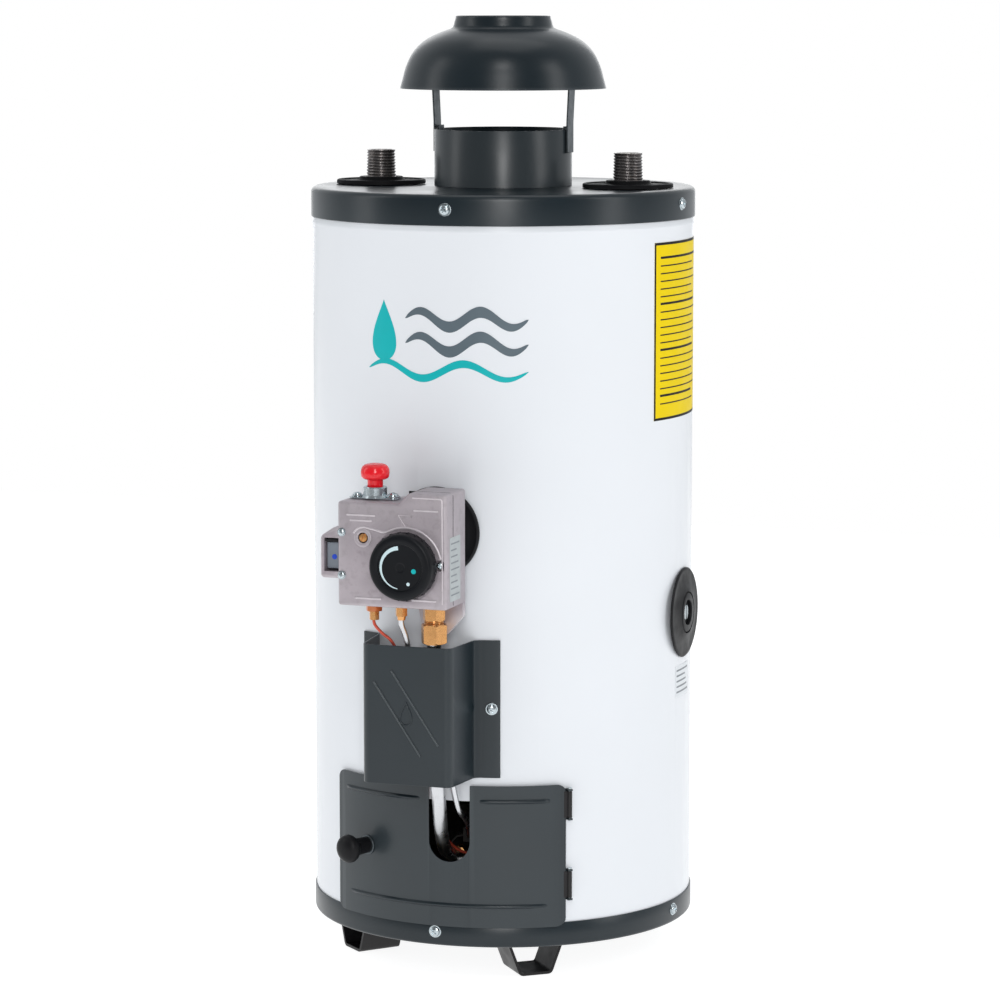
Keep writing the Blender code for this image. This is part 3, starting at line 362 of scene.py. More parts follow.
def turned(profile, segments=96):
    """Revolve a closed profile of (radius, z) points about Z; radius 0 makes a pole."""
    bm = bmesh.new()
    rings = [circle(bm, radius, z, segments) if radius > 1e-6 else [bm.verts.new((0, 0, z))]
             for radius, z in profile]
    pairs = list(zip(rings, rings[1:]))
    if len(rings[0]) > 1 and len(rings[-1]) > 1:
        pairs.append((rings[-1], rings[0]))
    for low, high in pairs:
        for k in range(segments):
            after = (k + 1) % segments
            corners = dict.fromkeys((low[k % len(low)], low[after % len(low)],
                                     high[after % len(high)], high[k % len(high)]))
            if len(corners) > 2:
                bm.faces.new(list(corners))
    return bm


def prism(outline, z0, z1):
    bm = bmesh.new()
    low = [bm.verts.new((x, y, z0)) for x, y in outline]
    high = [bm.verts.new((x, y, z1)) for x, y in outline]
    bm.faces.new(low)
    bm.faces.new(reversed(high))
    for k in range(len(outline)):
        after = (k + 1) % len(outline)
        bm.faces.new((low[k], high[k], high[after], low[after]))
    return bm


def facing_prism(outline, front_y, back_y):
    bm = prism(outline, -back_y, -front_y)
    bmesh.ops.transform(bm, matrix=ALONG_FRONT, verts=bm.verts)
    return bm


def box(low, high):
    return prism([(low[0], low[1]), (high[0], low[1]), (high[0], high[1]), (low[0], high[1])],
                 low[2], high[2])


def rod(radius, z0, z1, segments=48):
    return turned([(0, z0), (radius, z0), (radius, z1), (0, z1)], segments)


def arc(centre, radius, start, stop, steps):
    return [(centre[0] + radius * cos(radians(start + (stop - start) * k / steps)),
             centre[1] + radius * sin(radians(start + (stop - start) * k / steps)))
            for k in range(steps + 1)]


def rounded_box(x0, z0, x1, z1, radius, steps=6):
    return (arc((x1 - radius, z0 + radius), radius, -90, 0, steps)
            + arc((x1 - radius, z1 - radius), radius, 0, 90, steps)
            + arc((x0 + radius, z1 - radius), radius, 90, 180, steps)
            + arc((x0 + radius, z0 + radius), radius, 180, 270, steps))


def offset_path(path, distance):
    moved = []
    for k, point in enumerate(path):
        before, after = path[max(k - 1, 0)], path[min(k + 1, len(path) - 1)]
        normals = []
        for a, b in ((before, point), (point, after)):
            length = hypot(b[0] - a[0], b[1] - a[1])
            if length > 1e-9:
                normals.append(Vector((-(b[1] - a[1]) / length, (b[0] - a[0]) / length)))
        mean = sum(normals, Vector((0, 0))).normalized()
        reach = distance / mean.dot(normals[0])
        moved.append((point[0] + mean.x * reach, point[1] + mean.y * reach))
    return moved


def strip(path, thickness):
    return path + offset_path(path, thickness)[::-1]


def curve_through(points, step):
    """Points about every step mm on a Catmull-Rom curve through the given points."""
    points = [Vector(p) for p in points]
    ends = [2 * points[0] - points[1]] + points + [2 * points[-1] - points[-2]]
    route = [points[0]]
    for k in range(1, len(ends) - 2):
        p0, p1, p2, p3 = ends[k - 1:k + 3]
        pieces = max(2, ceil((p2 - p1).length / step))
        for j in range(1, pieces + 1):
            t = j / pieces
            route.append(0.5 * (2 * p1 + (p2 - p0) * t + (2 * p0 - 5 * p1 + 4 * p2 - p3) * t * t
                                + (3 * p1 - p0 - 3 * p2 + p3) * t ** 3))
    return route


def tube(name, route, radius, finish, body="heater", replaces=(), squeeze=1.0, sides=20):
    """A round solid bar along a route of points in mm."""
    bm = bmesh.new()
    side = Vector((1, 0, 0))
    rings = []
    for k, point in enumerate(route):
        ahead = (route[min(k + 1, len(route) - 1)] - route[max(k - 1, 0)]).normalized()
        if abs(side.dot(ahead)) > 0.95:
            side = Vector((0, 0, 1))
        side = (side - side.dot(ahead) * ahead).normalized()
        up = ahead.cross(side)
        rings.append([bm.verts.new(point + radius * (side * cos(2 * pi * j / sides)
                                                     + squeeze * up * sin(2 * pi * j / sides)))
                      for j in range(sides)])
    bm.faces.new(rings[0])
    bm.faces.new(rings[-1])
    for low, high in zip(rings, rings[1:]):
        link_rings(bm, low, high)
    return piece(name, bm, finish, body, replaces=replaces)


def threaded(radius, z0, z1, pitch, depth, bore, segments=64, per_turn=6, taper=0.0):
    """A pipe end with a true helical thread and a bore."""
    rows = max(2, round((z1 - z0) / pitch * per_turn))
    bm = bmesh.new()
    rings = []
    for row in range(rows + 1):
        z = z0 + (z1 - z0) * row / rows
        ring = []
        for k in range(segments):
            phase = ((z - z0) / pitch + k / segments) % 1.0
            wave = 1 - abs(2 * phase - 1)
            fade = min(1.0, (z - z0) / pitch, (z1 - z) / (pitch * 0.6))
            r = radius - taper * (z - z0) - depth * (1 - wave) * max(0.0, fade)
            turn = 2 * pi * k / segments
            ring.append(bm.verts.new((r * sin(turn), -r * cos(turn), z)))
        rings.append(ring)
    rings += [circle(bm, bore, z, segments) for z in (z1, z0)]
    for low, high in zip(rings, rings[1:] + rings[:1]):
        link_rings(bm, low, high)
    return bm


def wrapped(outline_grid, radius, thickness, place_bearing):
    """A thin film on the jacket from a grid of rows of (arc length, height) points."""
    bm = bmesh.new()
    skins = []
    for r in (radius, radius + thickness):
        skins.append([[bm.verts.new(at_bearing(r, place_bearing + degrees(s / radius), z))
                       for s, z in row] for row in outline_grid])
    inner, outer = skins
    rows, columns = len(outline_grid), len(outline_grid[0])
    for i in range(rows - 1):
        for j in range(columns - 1):
            for skin in skins:
                bm.faces.new((skin[i][j], skin[i][j + 1], skin[i + 1][j + 1], skin[i + 1][j]))
    edge = ([(0, j) for j in range(columns)] + [(i, columns - 1) for i in range(1, rows)]
            + [(rows - 1, j) for j in range(columns - 2, -1, -1)]
            + [(i, 0) for i in range(rows - 2, 0, -1)])
    for (a, b), (c, d) in zip(edge, edge[1:] + edge[:1]):
        bm.faces.new((inner[a][b], inner[c][d], outer[c][d], outer[a][b]))
    return bm


def film_box(s0, z0, s1, z1):
    """Grid rows for a rectangular film, fine enough to follow the jacket."""
    columns = max(2, ceil(abs(s1 - s0) / 4))
    return [[(s0 + (s1 - s0) * j / columns, z) for j in range(columns + 1)] for z in (z0, z1)]


def film_ribbon(path, widths):
    """Grid rows for a ribbon of varying width along a path of (arc length, height)."""
    return [[(s, z + side * w / 2) for (s, z), w in zip(path, widths)] for side in (-1, 1)]


# ---- shell -----------------------------------------------------------------------
def make_jacket():
    r, inner = JACKET_R, JACKET_R - SHEET
    bead = LID_LOW - 5.0
    profile = [(inner, JACKET_LOW), (r, JACKET_LOW), (r, bead - 2.2), (r + 0.45, bead - 1.4),
               (r + 0.65, bead), (r + 0.45, bead + 1.4), (r, bead + 2.2), (r, JACKET_HIGH),
               (inner, JACKET_HIGH)]
    jacket = piece("jacket_skin", turned(profile, 192), "white_enamel", replaces=["jacket"])
    shape(jacket, facing_prism(rounded_box(*DOOR_OPENING, 6), -190, -100))
    for bearing, z, hole in ((0, SPUD_Z, VALVE_HOLE_R), (90, DRAIN_Z, DRAIN_HOLE_R)):
        shape(jacket, rod(hole, -10, 10), place=outward(r, bearing, z) @ OFF_FACET)
    turns = degrees(SEAM_HALF / r)
    seam = [flat_xy(r + 0.02, 180 - turns + 2 * turns * k / 6) for k in range(7)]
    outer = [flat_xy(r + 0.85, 180 - turns * 0.93 + 2 * turns * 0.93 * k / 6) for k in range(7)]
    piece("jacket_lock_seam", prism(seam + outer[::-1], PAN_HIGH + 0.5, LID_LOW - 0.5),
          "white_enamel", bevel=0.3)
    for number in range(RIVETS):
        z = PAN_HIGH + 40 + number * RIVET_PITCH
        piece(f"seam_rivet_{number + 1}", turned([(0, 0), (2.4, 0), (2.2, 0.3), (1.2, 0.45),
                                                  (0, 0.5)], 24),
              "white_enamel", place=outward(r + 0.8, 180, z))


def make_lid():
    r, top, corner = LID_R, LID_TOP, 5.0
    hole = 40.5
    outer = arc((r - corner, top - corner), corner, 0, 90, 10)
    inner = arc((r - corner, top - corner), corner - SHEET, 90, 0, 8)
    profile = ([(r - 0.25, LID_LOW), (r, LID_LOW + 0.4)] + outer
               + [(r - 12, top), (r - 14, top - 0.5), (72, top - 0.5), (70, top), (hole, top),
                  (hole, top - SHEET - 0.5)] + [(r - 14, top - SHEET - 0.5)] + inner
               + [(r - SHEET, LID_LOW)])
    lid = piece("lid_pressing", turned(profile, 192), "grey_enamel", replaces=["top_cover"])
    for side in (-1, 1):
        shape(lid, rod(NIPPLE_R + 1.5, -10, 10),
              place=shift((side * WATER_X, 0, top)) @ OFF_FACET)


def make_pan():
    r, low, high = LID_R, PAN_LOW, PAN_HIGH
    profile = ([(45, low)] + arc((r - 3, low + 3), 3, -90, 0, 8)
               + [(r, high - 0.4), (r - 0.25, high), (r - SHEET, high), (r - SHEET, low + 3),
                  (r - 3, low + 1.2), (45, low + 1.2)])
    piece("base_pan_pressing", turned(profile, 192), "grey_enamel", replaces=["base_pan"])


def make_collar():
    low = LID_TOP + 0.3
    r, inner, top = COLLAR_R, COLLAR_R - SHEET, COLLAR_TOP
    profile = [(42, low), (r, low), (r, top - 0.5), (r - 0.3, top), (inner + 0.3, top),
               (inner, top - 0.5), (inner, low + SHEET), (42, low + SHEET)]
    piece("collar_pressing", turned(profile, 128), "grey_enamel", replaces=["flue_collar"])
    seam = [(r - 0.02, -6), (r + 0.35, -5.6), (r + 0.35, 5.6), (r - 0.02, 6)]
    piece("collar_lap_seam", prism(seam, low + 1, top - 1), "grey_enamel", bevel=0.12,
          place=spin(108))


def hood_outline():
    """The bell's outer outline from rim to lip, eased between its guide points."""
    guide = [(90.4, 0), (88.4, 7.6), (84.9, 19.9), (79.4, 30.9), (71.9, 39.2), (63.6, 44.7),
             (54, 49.0), (46.6, 51.6)]
    eased = [(p.x, p.y) for p in curve_through([(r, z, 0) for r, z in guide], 3.0)]
    return eased + [(44.2, 52.9), (43.3, 55.0), (42.6, 58.0), (41.6, 61.0), (41.6, 62.4),
                    (41.0, LIP_Z - RIM_Z)]


def make_hood():
    outline = hood_outline()
    inside = offset_path(outline, 1.2)[::-1]
    inside[-1] = (outline[0][0] - 1.2, 0.25)
    inside[0] = (40.4, LIP_Z - RIM_Z)
    profile = [(r, z + RIM_Z) for r, z in outline + inside]
    piece("hood_bell_spun", turned(profile, 144), "grey_enamel", "hood", replaces=["hood_bell"],
          sharp=50)
    under = offset_path(hood_outline(), 1.7)
    knee = min(under, key=lambda p: abs(p[0] - 62.6))
    face = [(62.5, 705.5), (62.5, 732), (63.6, 755), (65.2, 785), (65.6, 797)]
    face += [(knee[0] + 0.3, knee[1] + RIM_Z - 0.6), (52.5, knee[1] + RIM_Z + 3.4)]
    tongue = [(57.4, 712), (58.9, 712), (58.9, 727), (62, 727), (62, 728.5), (57.4, 728.5)]
    for name, bearing in (("left", -90), ("right", 90)):
        turn = spin(bearing - 90)
        strap = piece(f"hood_strap_{name}_bent", facing_prism(strip(face, 1.5), -8, 8), "strap_steel",
                      "hood", turn, replaces=[f"hood_strap_{name}"])
        shape(strap, facing_prism(tongue, -6, 6), "UNION", turn)
        round_edges(strap, 0.35, 2)


def make_screw_mesh():
    """A cross-recessed pan head on its own washer, face at +Z and 2.9 mm high."""
    head = [(0, -1.2), (5.6, -1.2), (5.6, 0.1), (5.3, 0.45), (4.5, 0.5), (4.45, 0.9), (4.1, 1.8),
            (3.2, 2.45), (1.8, 2.8), (0, 2.9)]
    made = piece("screw_pattern", turned(head, 48), "zinc", body=None)
    for angle in (0, 90):
        shape(made, box((-2.7, -0.55, 1.1), (2.7, 0.55, 5)),
              place=spin(angle + 20))
    mesh = made.data
    mesh.transform(Matrix.Scale(1 / MM, 4) @ Matrix.Translation(-AXIS))
    bpy.data.objects.remove(made, do_unlink=True)
    return mesh


def screw(name, place, body="heater", scale=1.0, turn=0.0, replaces=(), finish="zinc"):
    bm = bmesh.new()
    bm.from_mesh(SCREW)
    bmesh.ops.scale(bm, vec=(scale, scale, scale), verts=bm.verts)
    return piece(name, bm, finish, body, place @ spin(turn),
                 replaces, sharp=30)


def make_shell_screws():
    rings = (("lid", (2.6, 85.5, 180.0, -90.0), 663.6), ("base", (-0.8, 82.0, 180.0, -90.0), 43.4))
    for name, bearings, z in rings:
        for number, bearing in enumerate(bearings, start=1):
            screw(f"{name}_screw_{number}", outward(LID_R, bearing, z), turn=31 * number)


def rounded_corners(path, radius, steps=5):
    """A path with its inner corners eased over about the given radius."""
    eased = [path[0]]
    for before, corner, after in zip(path, path[1:], path[2:]):
        p, a, b = Vector(corner), Vector(before), Vector(after)
        first = p + (a - p).normalized() * min(radius, (a - p).length / 2)
        last = p + (b - p).normalized() * min(radius, (b - p).length / 2)
        for k in range(steps + 1):
            t = k / steps
            point = (1 - t) ** 2 * first + 2 * t * (1 - t) * p + t ** 2 * last
            eased.append((point.x, point.y))
    return eased + [path[-1]]


def make_feet():
    """Straps bent to a flat-bottomed V, their ends turned in under the pan."""
    half_bottom, half_top, tab, sheet, top = 14.8, 26.5, 8.5, 2.5, PAN_LOW - 0.3
    corner = [(half_top - tab, top), (half_top, top), (half_bottom, 0)]
    outside = rounded_corners([(-x, z) for x, z in corner] + corner[::-1], 3.6)
    for number, bearing in enumerate(FOOT_BEARINGS, start=1):
        where = (shift(at_bearing(FOOT_OUTER_R, bearing))
                 @ spin(bearing + FOOT_TURN))
        piece(f"foot_strap_{number}", facing_prism(strip(outside, sheet), 0, FOOT_LENGTH),
              "foot_enamel", place=where, replaces=[f"foot_{number}"], bevel=0.45)


def make_water_connections():
    seat = LID_TOP + 0.3
    ring = [(NIPPLE_R + 0.6, 0), (39.5, 0), (39.5, 2.4), (39.1, 3.2), (38.2, 3.6), (36.6, 3.6),
            (35.8, 3.2), (35.4, 2.6), (34.6, 2.5), (24, 2.9), (21, 3.4), (19.8, 4.3), (19.4, 5.4),
            (18.6, 6), (NIPPLE_R + 0.8, 6), (NIPPLE_R + 0.6, 5.4)]
    for name, side in (("cold", -1), ("hot", 1)):
        where = shift((side * WATER_X, 0, 0))
        piece(f"{name}_escutcheon_moulded", turned(ring, 96), "disc_black",
              place=where @ shift((0, 0, seat)), replaces=[f"{name}_escutcheon"])
        piece(f"{name}_nipple_thread", threaded(NIPPLE_R, seat + 4.5, NIPPLE_TOP, 2.6, 1.2, 10.5,
                                                taper=0.03), "pipe_steel", place=where,
              replaces=[f"{name}_nipple"], sharp=180)
        low = node_box(f"{name}_nipple")[0].z
        piece(f"{name}_nipple_shank", turned([(10.5, low), (NIPPLE_R, low), (NIPPLE_R, seat + 4.4),
                                              (10.5, seat + 4.4)], 48), "steel", place=where)
    liner = [(8.2, 701), (8.2, NIPPLE_TOP - 0.3), (9.9, NIPPLE_TOP - 0.3), (10.4, NIPPLE_TOP - 1),
             (10.4, 701)]
    piece("hot_nipple_liner", turned(liner, 48), "natural_plastic",
          place=shift((WATER_X, 0, 0)))


def escutcheon_profile(r, hole, height):
    """A moulded disc with a raised rim that domes up to its hub."""
    return [(hole, 0), (r, 0), (r, height * 0.2), (r - 0.5, height * 0.33), (r - 1.6, height * 0.42),
            (r - 3.2, height * 0.38), (r * 0.78, height * 0.48), (r * 0.62, height * 0.66),
            (r * 0.52, height * 0.86), (r * 0.47, height * 0.98), (hole + 0.4, height),
            (hole, height - 0.4)]


def make_port_escutcheons():
    for name, bearing, z, hole, height in (("valve", 0, SPUD_Z, 14.2, 7.5),
                                           ("drain", 90, DRAIN_Z, 18.2, 4.4)):
        profile = escutcheon_profile(PORT_DISC_R[name], hole, height)
        piece(f"{name}_escutcheon_moulded", turned(profile, 96), "black_plastic",
              place=outward(JACKET_R + 0.5, bearing, z), replaces=[f"{name}_escutcheon"])


# ---- gas valve ------------------------------------------------------------------
def make_valve_body():
    left, right, top = VALVE_LOW.x, VALVE_HIGH.x, VALVE_HIGH.z
    outline = [(left, VALVE_BOTTOM), (right, VALVE_BOTTOM), (right, top), (0, top),
               (-8, VALVE_STEP_Z), (left, VALVE_STEP_Z)]
    body = piece("valve_casting", facing_prism(outline, FRONT_Y, VALVE_HIGH.y), "cast_aluminium",
                 replaces=["gas_valve_body"])
    round_edges(body, 2.4, 4)
    lobe = [(-8, VALVE_BOTTOM + 5), (-2, 308.5), (20, 308.5), (right - 0.5, 324),
            (right - 0.5, VALVE_BOTTOM + 5)]
    shape(body, facing_prism(lobe, -196.6, VALVE_HIGH.y - 0.2), "UNION")
    pocket = Matrix.Rotation(0.07, 4, "Z")
    shape(body, rod(4.6, -9, 5), place=on_front(*PILOT_SCREW) @ pocket)
    shape(body, rod(2.9, -12, 5), place=shift((BUTTON_X, BUTTON_Y, VALVE_STEP_Z)) @ pocket)
    shape(body, rod(30.2, -0.9, 3, 96), place=on_front(DIAL_X, DIAL_Z) @ pocket)
    notch = facing_prism(rounded_box(24, DIAL_Z - 3.4, 32, DIAL_Z + 5.9, 2.5), FRONT_Y - 2, FRONT_Y + 5)
    shape(body, notch)
    make_valve_ribs()
    # the rear cover is a second casting, split from the front one by a thin dark joint
    seam = facing_prism(rounded_box(left + 0.4, VALVE_BOTTOM - 0.02, right + 0.12, top + 0.06, 3),
                        VALVE_HIGH.y - 31.2, VALVE_HIGH.y - 30.4)
    joint = piece("valve_joint", seam, "black_ink")
    shape(joint, box((-90, -260, VALVE_STEP_Z - 1), (-5, -150, 460)))


def press_flat(ridge, front_y, share):
    """Scale a ridge's relief about the flat face that it lies on."""
    face_y = front_y * MM + AXIS.y
    for vertex in ridge.data.vertices:
        vertex.co.y = face_y + (vertex.co.y - face_y) * share


def raised_bar(name, points, height, width):
    """A half-sunk round rib along points on the valve's front face."""
    route = [Vector((x, FRONT_Y + 0.15, z)) for x, z in points]
    # drawn in the lighter copy of the casting: a painted highlight along the rib
    bar = tube(name, route, width / 2, "casting_painted_highlight", sides=14)
    press_flat(bar, FRONT_Y, height / (width / 2))


def make_valve_ribs():
    around = arc((DIAL_X, DIAL_Z), 31.8, 12, 118, 28)
    sweep = arc((PILOT_SCREW[0] + 1, PILOT_SCREW[1] - 2), 11.0, 72, 150, 8)
    join = [(p.x, p.y) for p in curve_through([(*around[-1], 0), (-22, 398.4, 0), (-29, 400.2, 0),
                                               (*sweep[0], 0)], 2)][1:-1]
    raised_bar("valve_arc_rib", around + join + sweep, 1.1, 2.2)
    raised_bar("valve_edge_rib", [(4, 428.4), (20, 428.4), (29.2, 428.2), (30.2, 427), (30.2, 400),
                                  (30.2, 340)], 0.55, 1.3)
    pointer = [(DIAL_X - 6.2, 413.5), (DIAL_X + 6.2, 413.5), (DIAL_X, 404.0)]
    raised_bar("valve_pointer", pointer + pointer[:1], 0.7, 1.0)
    boss = [(4.4, -0.3), (8.2, -0.3), (7.6, 0.9), (7.0, 1.2), (5.4, 1.2), (4.6, 0.8)]
    piece("pilot_screw_boss", turned(boss, 48), "cast_aluminium", place=on_front(*PILOT_SCREW))
    # the raised bars take the same lighter copy of the casting: painted highlight
    for number, (x, z, width) in enumerate(((-42, 412, 26), (-42, 407.5, 20), (16, 418, 22),
                                            (-36, 342, 24), (14, 342.5, 22)), start=1):
        bar = rounded_box(x - width / 2, z - 0.8, x + width / 2, z + 0.8, 0.7, 4)
        piece(f"valve_cast_bar_{number}", facing_prism(bar, FRONT_Y - 0.6, FRONT_Y + 0.4),
              "casting_painted_highlight", bevel=0.25)
    screw("dial_stop_screw", on_front(28, DIAL_Z + 1.3, FRONT_Y + 1.2), scale=0.56, turn=15)


def make_valve_label():
    """A plain pale rating label with ruled bars on the valve's right side."""
    side = shift((VALVE_HIGH.x, 0, 0)) @ Matrix.Rotation(radians(90), 4, "Y")
    # in this frame local +Z is the heater's +X, local +Y its +Y, and local -X its +Z
    plate = [(-z, y) for y, z in rounded_box(-229, 341, -204, 395, 1.5, 3)]
    piece("valve_label", prism(plate, 0.02, 0.28), "silver_label", place=side)
    for number in range(9):
        z, short = 389 - number * 5.4, (number * 7) % 4 * 2.2
        bar = [(-z, -226.5), (-z, -206.5 - short), (-z - 1.3, -206.5 - short), (-z - 1.3, -226.5)]
        piece(f"valve_label_bar_{number + 1}", prism(bar, 0.2, 0.34), "grey_ink", place=side)


def make_pilot_screw():
    brass = piece("pilot_adjust_head", turned([(0, -8), (3.75, -8), (3.75, -0.2), (3.3, 0.5),
                                               (0, 0.6)], 40),
                  "brass", place=on_front(*PILOT_SCREW), replaces=["pilot_adjust_screw"])
    shape(brass, box((-3.9, -0.45, -0.9), (3.9, 0.45, 3)),
          place=on_front(*PILOT_SCREW) @ spin(60))


def make_inlet():
    left, right = INLET_LOW.x, INLET_HIGH.x
    front, back, low, high = INLET_LOW.y, INLET_HIGH.y, INLET_LOW.z, INLET_HIGH.z
    outline = [(right, low), (right, high), (right - 5, high), (left + 1.5, high - 6.6),
               (left, high - 9), (left, low + 2), (left + 2, low)]
    flange = piece("inlet_casting", facing_prism(outline, front, back), "cast_aluminium",
                   replaces=["inlet_flange"])
    round_edges(flange, 0.9, 2)
    shape(flange, box((left + 3.2, front - 5, low + 5.5), (right + 5, front + 27, high - 9)))
    piece("inlet_plug_moulded", box((left + 4, front + 4, low + 7.5),
                                    (right - 0.5, front + 26, high - 13)),
          "grey_plastic", replaces=["inlet_plug"], bevel=1.0)
    spot = shift((left + 11, front + 4, (low + high) / 2 - 4)) @ ALONG_FRONT
    piece("inlet_plug_spot", turned([(0, -0.5), (2.3, -0.5), (2.2, 0.25), (0, 0.4)], 28),
          "blue_dot", place=spot)
    shelf = box((left + 3.4, front + 1.5, high - 12.4), (right - 0.6, front + 26, high - 10.2))
    piece("inlet_gasket", shelf, "black_plastic", bevel=0.4)
    for number, z in enumerate((high - 3.0, low + 3.6), start=1):
        screw(f"inlet_screw_{number}", shift((right + 4.0, FRONT_Y - 0.6, z)) @ ALONG_FRONT,
              scale=0.66, turn=40 * number)


def make_dial():
    """Black knob with a tapering heat arc, two dots and a ring of small marks."""
    back = DIAL_HIGH.y
    face = DIAL_LOW.y
    knob_back = FRONT_Y - 1.6
    r, depth = DIAL_HIGH.x - DIAL_X, knob_back - face
    where = shift((DIAL_X, knob_back, DIAL_Z)) @ ALONG_FRONT
    profile = [(0, knob_back - back), (4, knob_back - back), (4, 0), (r - 0.4, 0), (r, 0.5)]
    profile += [(r, depth * 0.4)] + arc((r - 4.0, depth - 3.4), 3.4, 0, 80, 8)
    profile += [(r - 8.0, depth), (r - 8.4, depth - 0.15), (r - 8.8, depth - 1.15),
                (r - 9.2, depth - 1.3), (r - 9.6, depth - 1.3), (4.6, depth - 1.3),
                (4.2, depth - 1.3), (3.6, depth - 1.7), (3.2, depth - 1.7), (0, depth - 1.7)]
    piece("dial_knob", turned(profile, 120), "dial_black", "dial", where,
          ["temperature_dial"])
    for number in range(24):
        turn = Matrix.Rotation(2 * pi * (number + 0.5) / 24, 4, "Z")
        grip = rod(1.15, 0.6, depth * 0.42, 12)
        piece(f"dial_grip_{number + 1}", grip, "dial_black", "dial",
              where @ turn @ shift((r - 0.55, 0, 0)))
    level = depth - 1.28
    flat = depth + 0.02
    outer_r, steps = 18.2, 40
    bm = bmesh.new()
    rows = []
    for k in range(steps + 1):
        angle, inner_r = radians(96 + 166 * k / steps), outer_r - 3.4 + 2.7 * k / steps
        rows.append([bm.verts.new((rr * cos(angle), rr * sin(angle), zz))
                     for rr, zz in ((outer_r, level - 0.1), (outer_r, level + 0.12),
                                    (inner_r, level + 0.12), (inner_r, level - 0.1))])
    for low, high in zip(rows, rows[1:]):
        link_rings(bm, low, high)
    bm.faces.new(rows[0])
    bm.faces.new(rows[-1])
    piece("dial_heat_arc", bm, "dial_white", "dial", where)
    for name, radius, angle, size, finish in (("teal", 12.2, -12, 2.1, "mark_teal"),
                                              ("white", 15.2, -62, 1.5, "dial_white")):
        spot = shift((radius * cos(radians(angle)), radius * sin(radians(angle)), level))
        piece(f"dial_dot_{name}", turned([(0, -0.1), (size, -0.1), (size, 0.12), (0, 0.14)], 28),
              finish, "dial", where @ spot)
    marks = [(90, 2.2), (84, 1.0), (200, 0.8), (214, 0.8), (228, 0.8), (242, 0.8), (270, 1.6),
             (276, 1.6), (300, 0.9), (312, 0.9), (324, 0.9), (348, 0.9), (2, 0.9)]
    for number, (angle, length) in enumerate(marks, start=1):
        turn = spin(angle)
        bar = box((21.6, -0.28, flat - 1.7), (21.6 + length, 0.28, flat - 1.1))
        piece(f"dial_mark_{number}", bar, "dial_white", "dial", where @ turn)


def make_button():
    foot = BUTTON_HIGH.z - 35
    where = shift((BUTTON_X, BUTTON_Y, 0))
    cap = [(0, 0), (2.4, 0), (2.4, 13.4), (6.5, 13.4), (6.7, 13.8), (6.6, 20.6), (7.2, 21.6),
           (9.4, 22.0), (10.9, 22.8), (11.8, 24.2), (12.15, 26.0), (12.2, 28.4), (11.8, 30.6),
           (10.9, 32.4), (9.4, 33.8), (7.0, 34.7), (3.5, 35.0), (3.0, 34.85), (0, 34.8)]
    piece("button_cap", turned([(r, foot + z) for r, z in cap], 64), "red_plastic", "button", where,
          ["pilot_button"])
    seat = VALVE_STEP_Z + 0.3
    plate = rounded_box(-21.4, -7.9, 21.4, 7.9, 4, 6)
    bracket = piece("button_bracket_plate", prism(plate, seat, seat + 1.5), "zinc", place=where,
                    replaces=["button_bracket"])
    collar = [(7.4, seat + 1.3), (11.5, seat + 1.3), (10.6, seat + 2.6), (10, seat + 3.4),
              (10, seat + 9.6), (9.4, seat + 10.4), (8.2, seat + 10.4), (7.4, seat + 9.8)]
    piece("button_collar", turned(collar, 64), "zinc", place=where)
    shape(bracket, rod(7.4, seat - 2, seat + 5), place=where @ Matrix.Rotation(0.05, 4, "Z"))
    round_edges(bracket, 0.3, 2)
    for number, (side, scale) in enumerate(((-1, 0.8), (1, 1.0)), start=1):
        screw(f"bracket_screw_{number}",
              shift((BUTTON_X + side * 16.0, BUTTON_Y, seat + 2.6)), scale=scale,
              turn=25 * number)


def hexagon(name, radius, z0, z1, finish, centre, replaces=()):
    """A hexagon nut with turned-off corners, two of its flats facing front and back."""
    where = shift((*centre, 0))
    points = [(radius * cos(radians(60 * k)), radius * sin(radians(60 * k))) for k in range(6)]
    nut = piece(name, prism(points, z0, z1), finish, place=where, replaces=replaces)
    flat = radius * 0.9
    rounding = [(0, z0), (flat, z0), (radius * 1.02, z0 + radius * 0.1),
                (radius * 1.02, z1 - radius * 0.1), (flat, z1), (0, z1)]
    return shape(nut, turned(rounding, 60), "INTERSECT", where)


def make_fittings():
    top = VALVE_BOTTOM - 0.3
    hexagon("gas_nut_body", 11.4, 302.0, 318.2, "brass", GAS_NUT, ["gas_nut"])
    hexagon("gas_nut_shoulder", 9.8, 321.6, top, "brass", GAS_NUT)
    where = shift((*GAS_NUT, 0))
    piece("gas_nut_thread", threaded(8.6, 317.5, 322, 1.5, 0.6, 4, 48), "brass", place=where)
    nose = [(6.2, 301.1), (7.0, 300.9), (8.2, 301.3), (8.8, 302.6), (6.2, 302.6)]
    piece("gas_nut_nose", turned(nose, 48), "brass", place=where)
    hexagon("thermocouple_nut_body", 4.4, 320.6, 328.2, "brass", COUPLE_NUT, ["thermocouple_nut"])
    hexagon("thermocouple_nut_head", 7.2, 328.2, top, "copper", COUPLE_NUT)
    hexagon("pilot_nut_body", 5.2, 325, top, "brass", PILOT_NUT, ["pilot_nut"])
    piece("pilot_nut_nose", turned([(2.5, 321.5), (3.2, 321.5), (3.9, 325.2), (2.5, 325.2)], 32),
          "brass", place=shift((*PILOT_NUT, 0)))


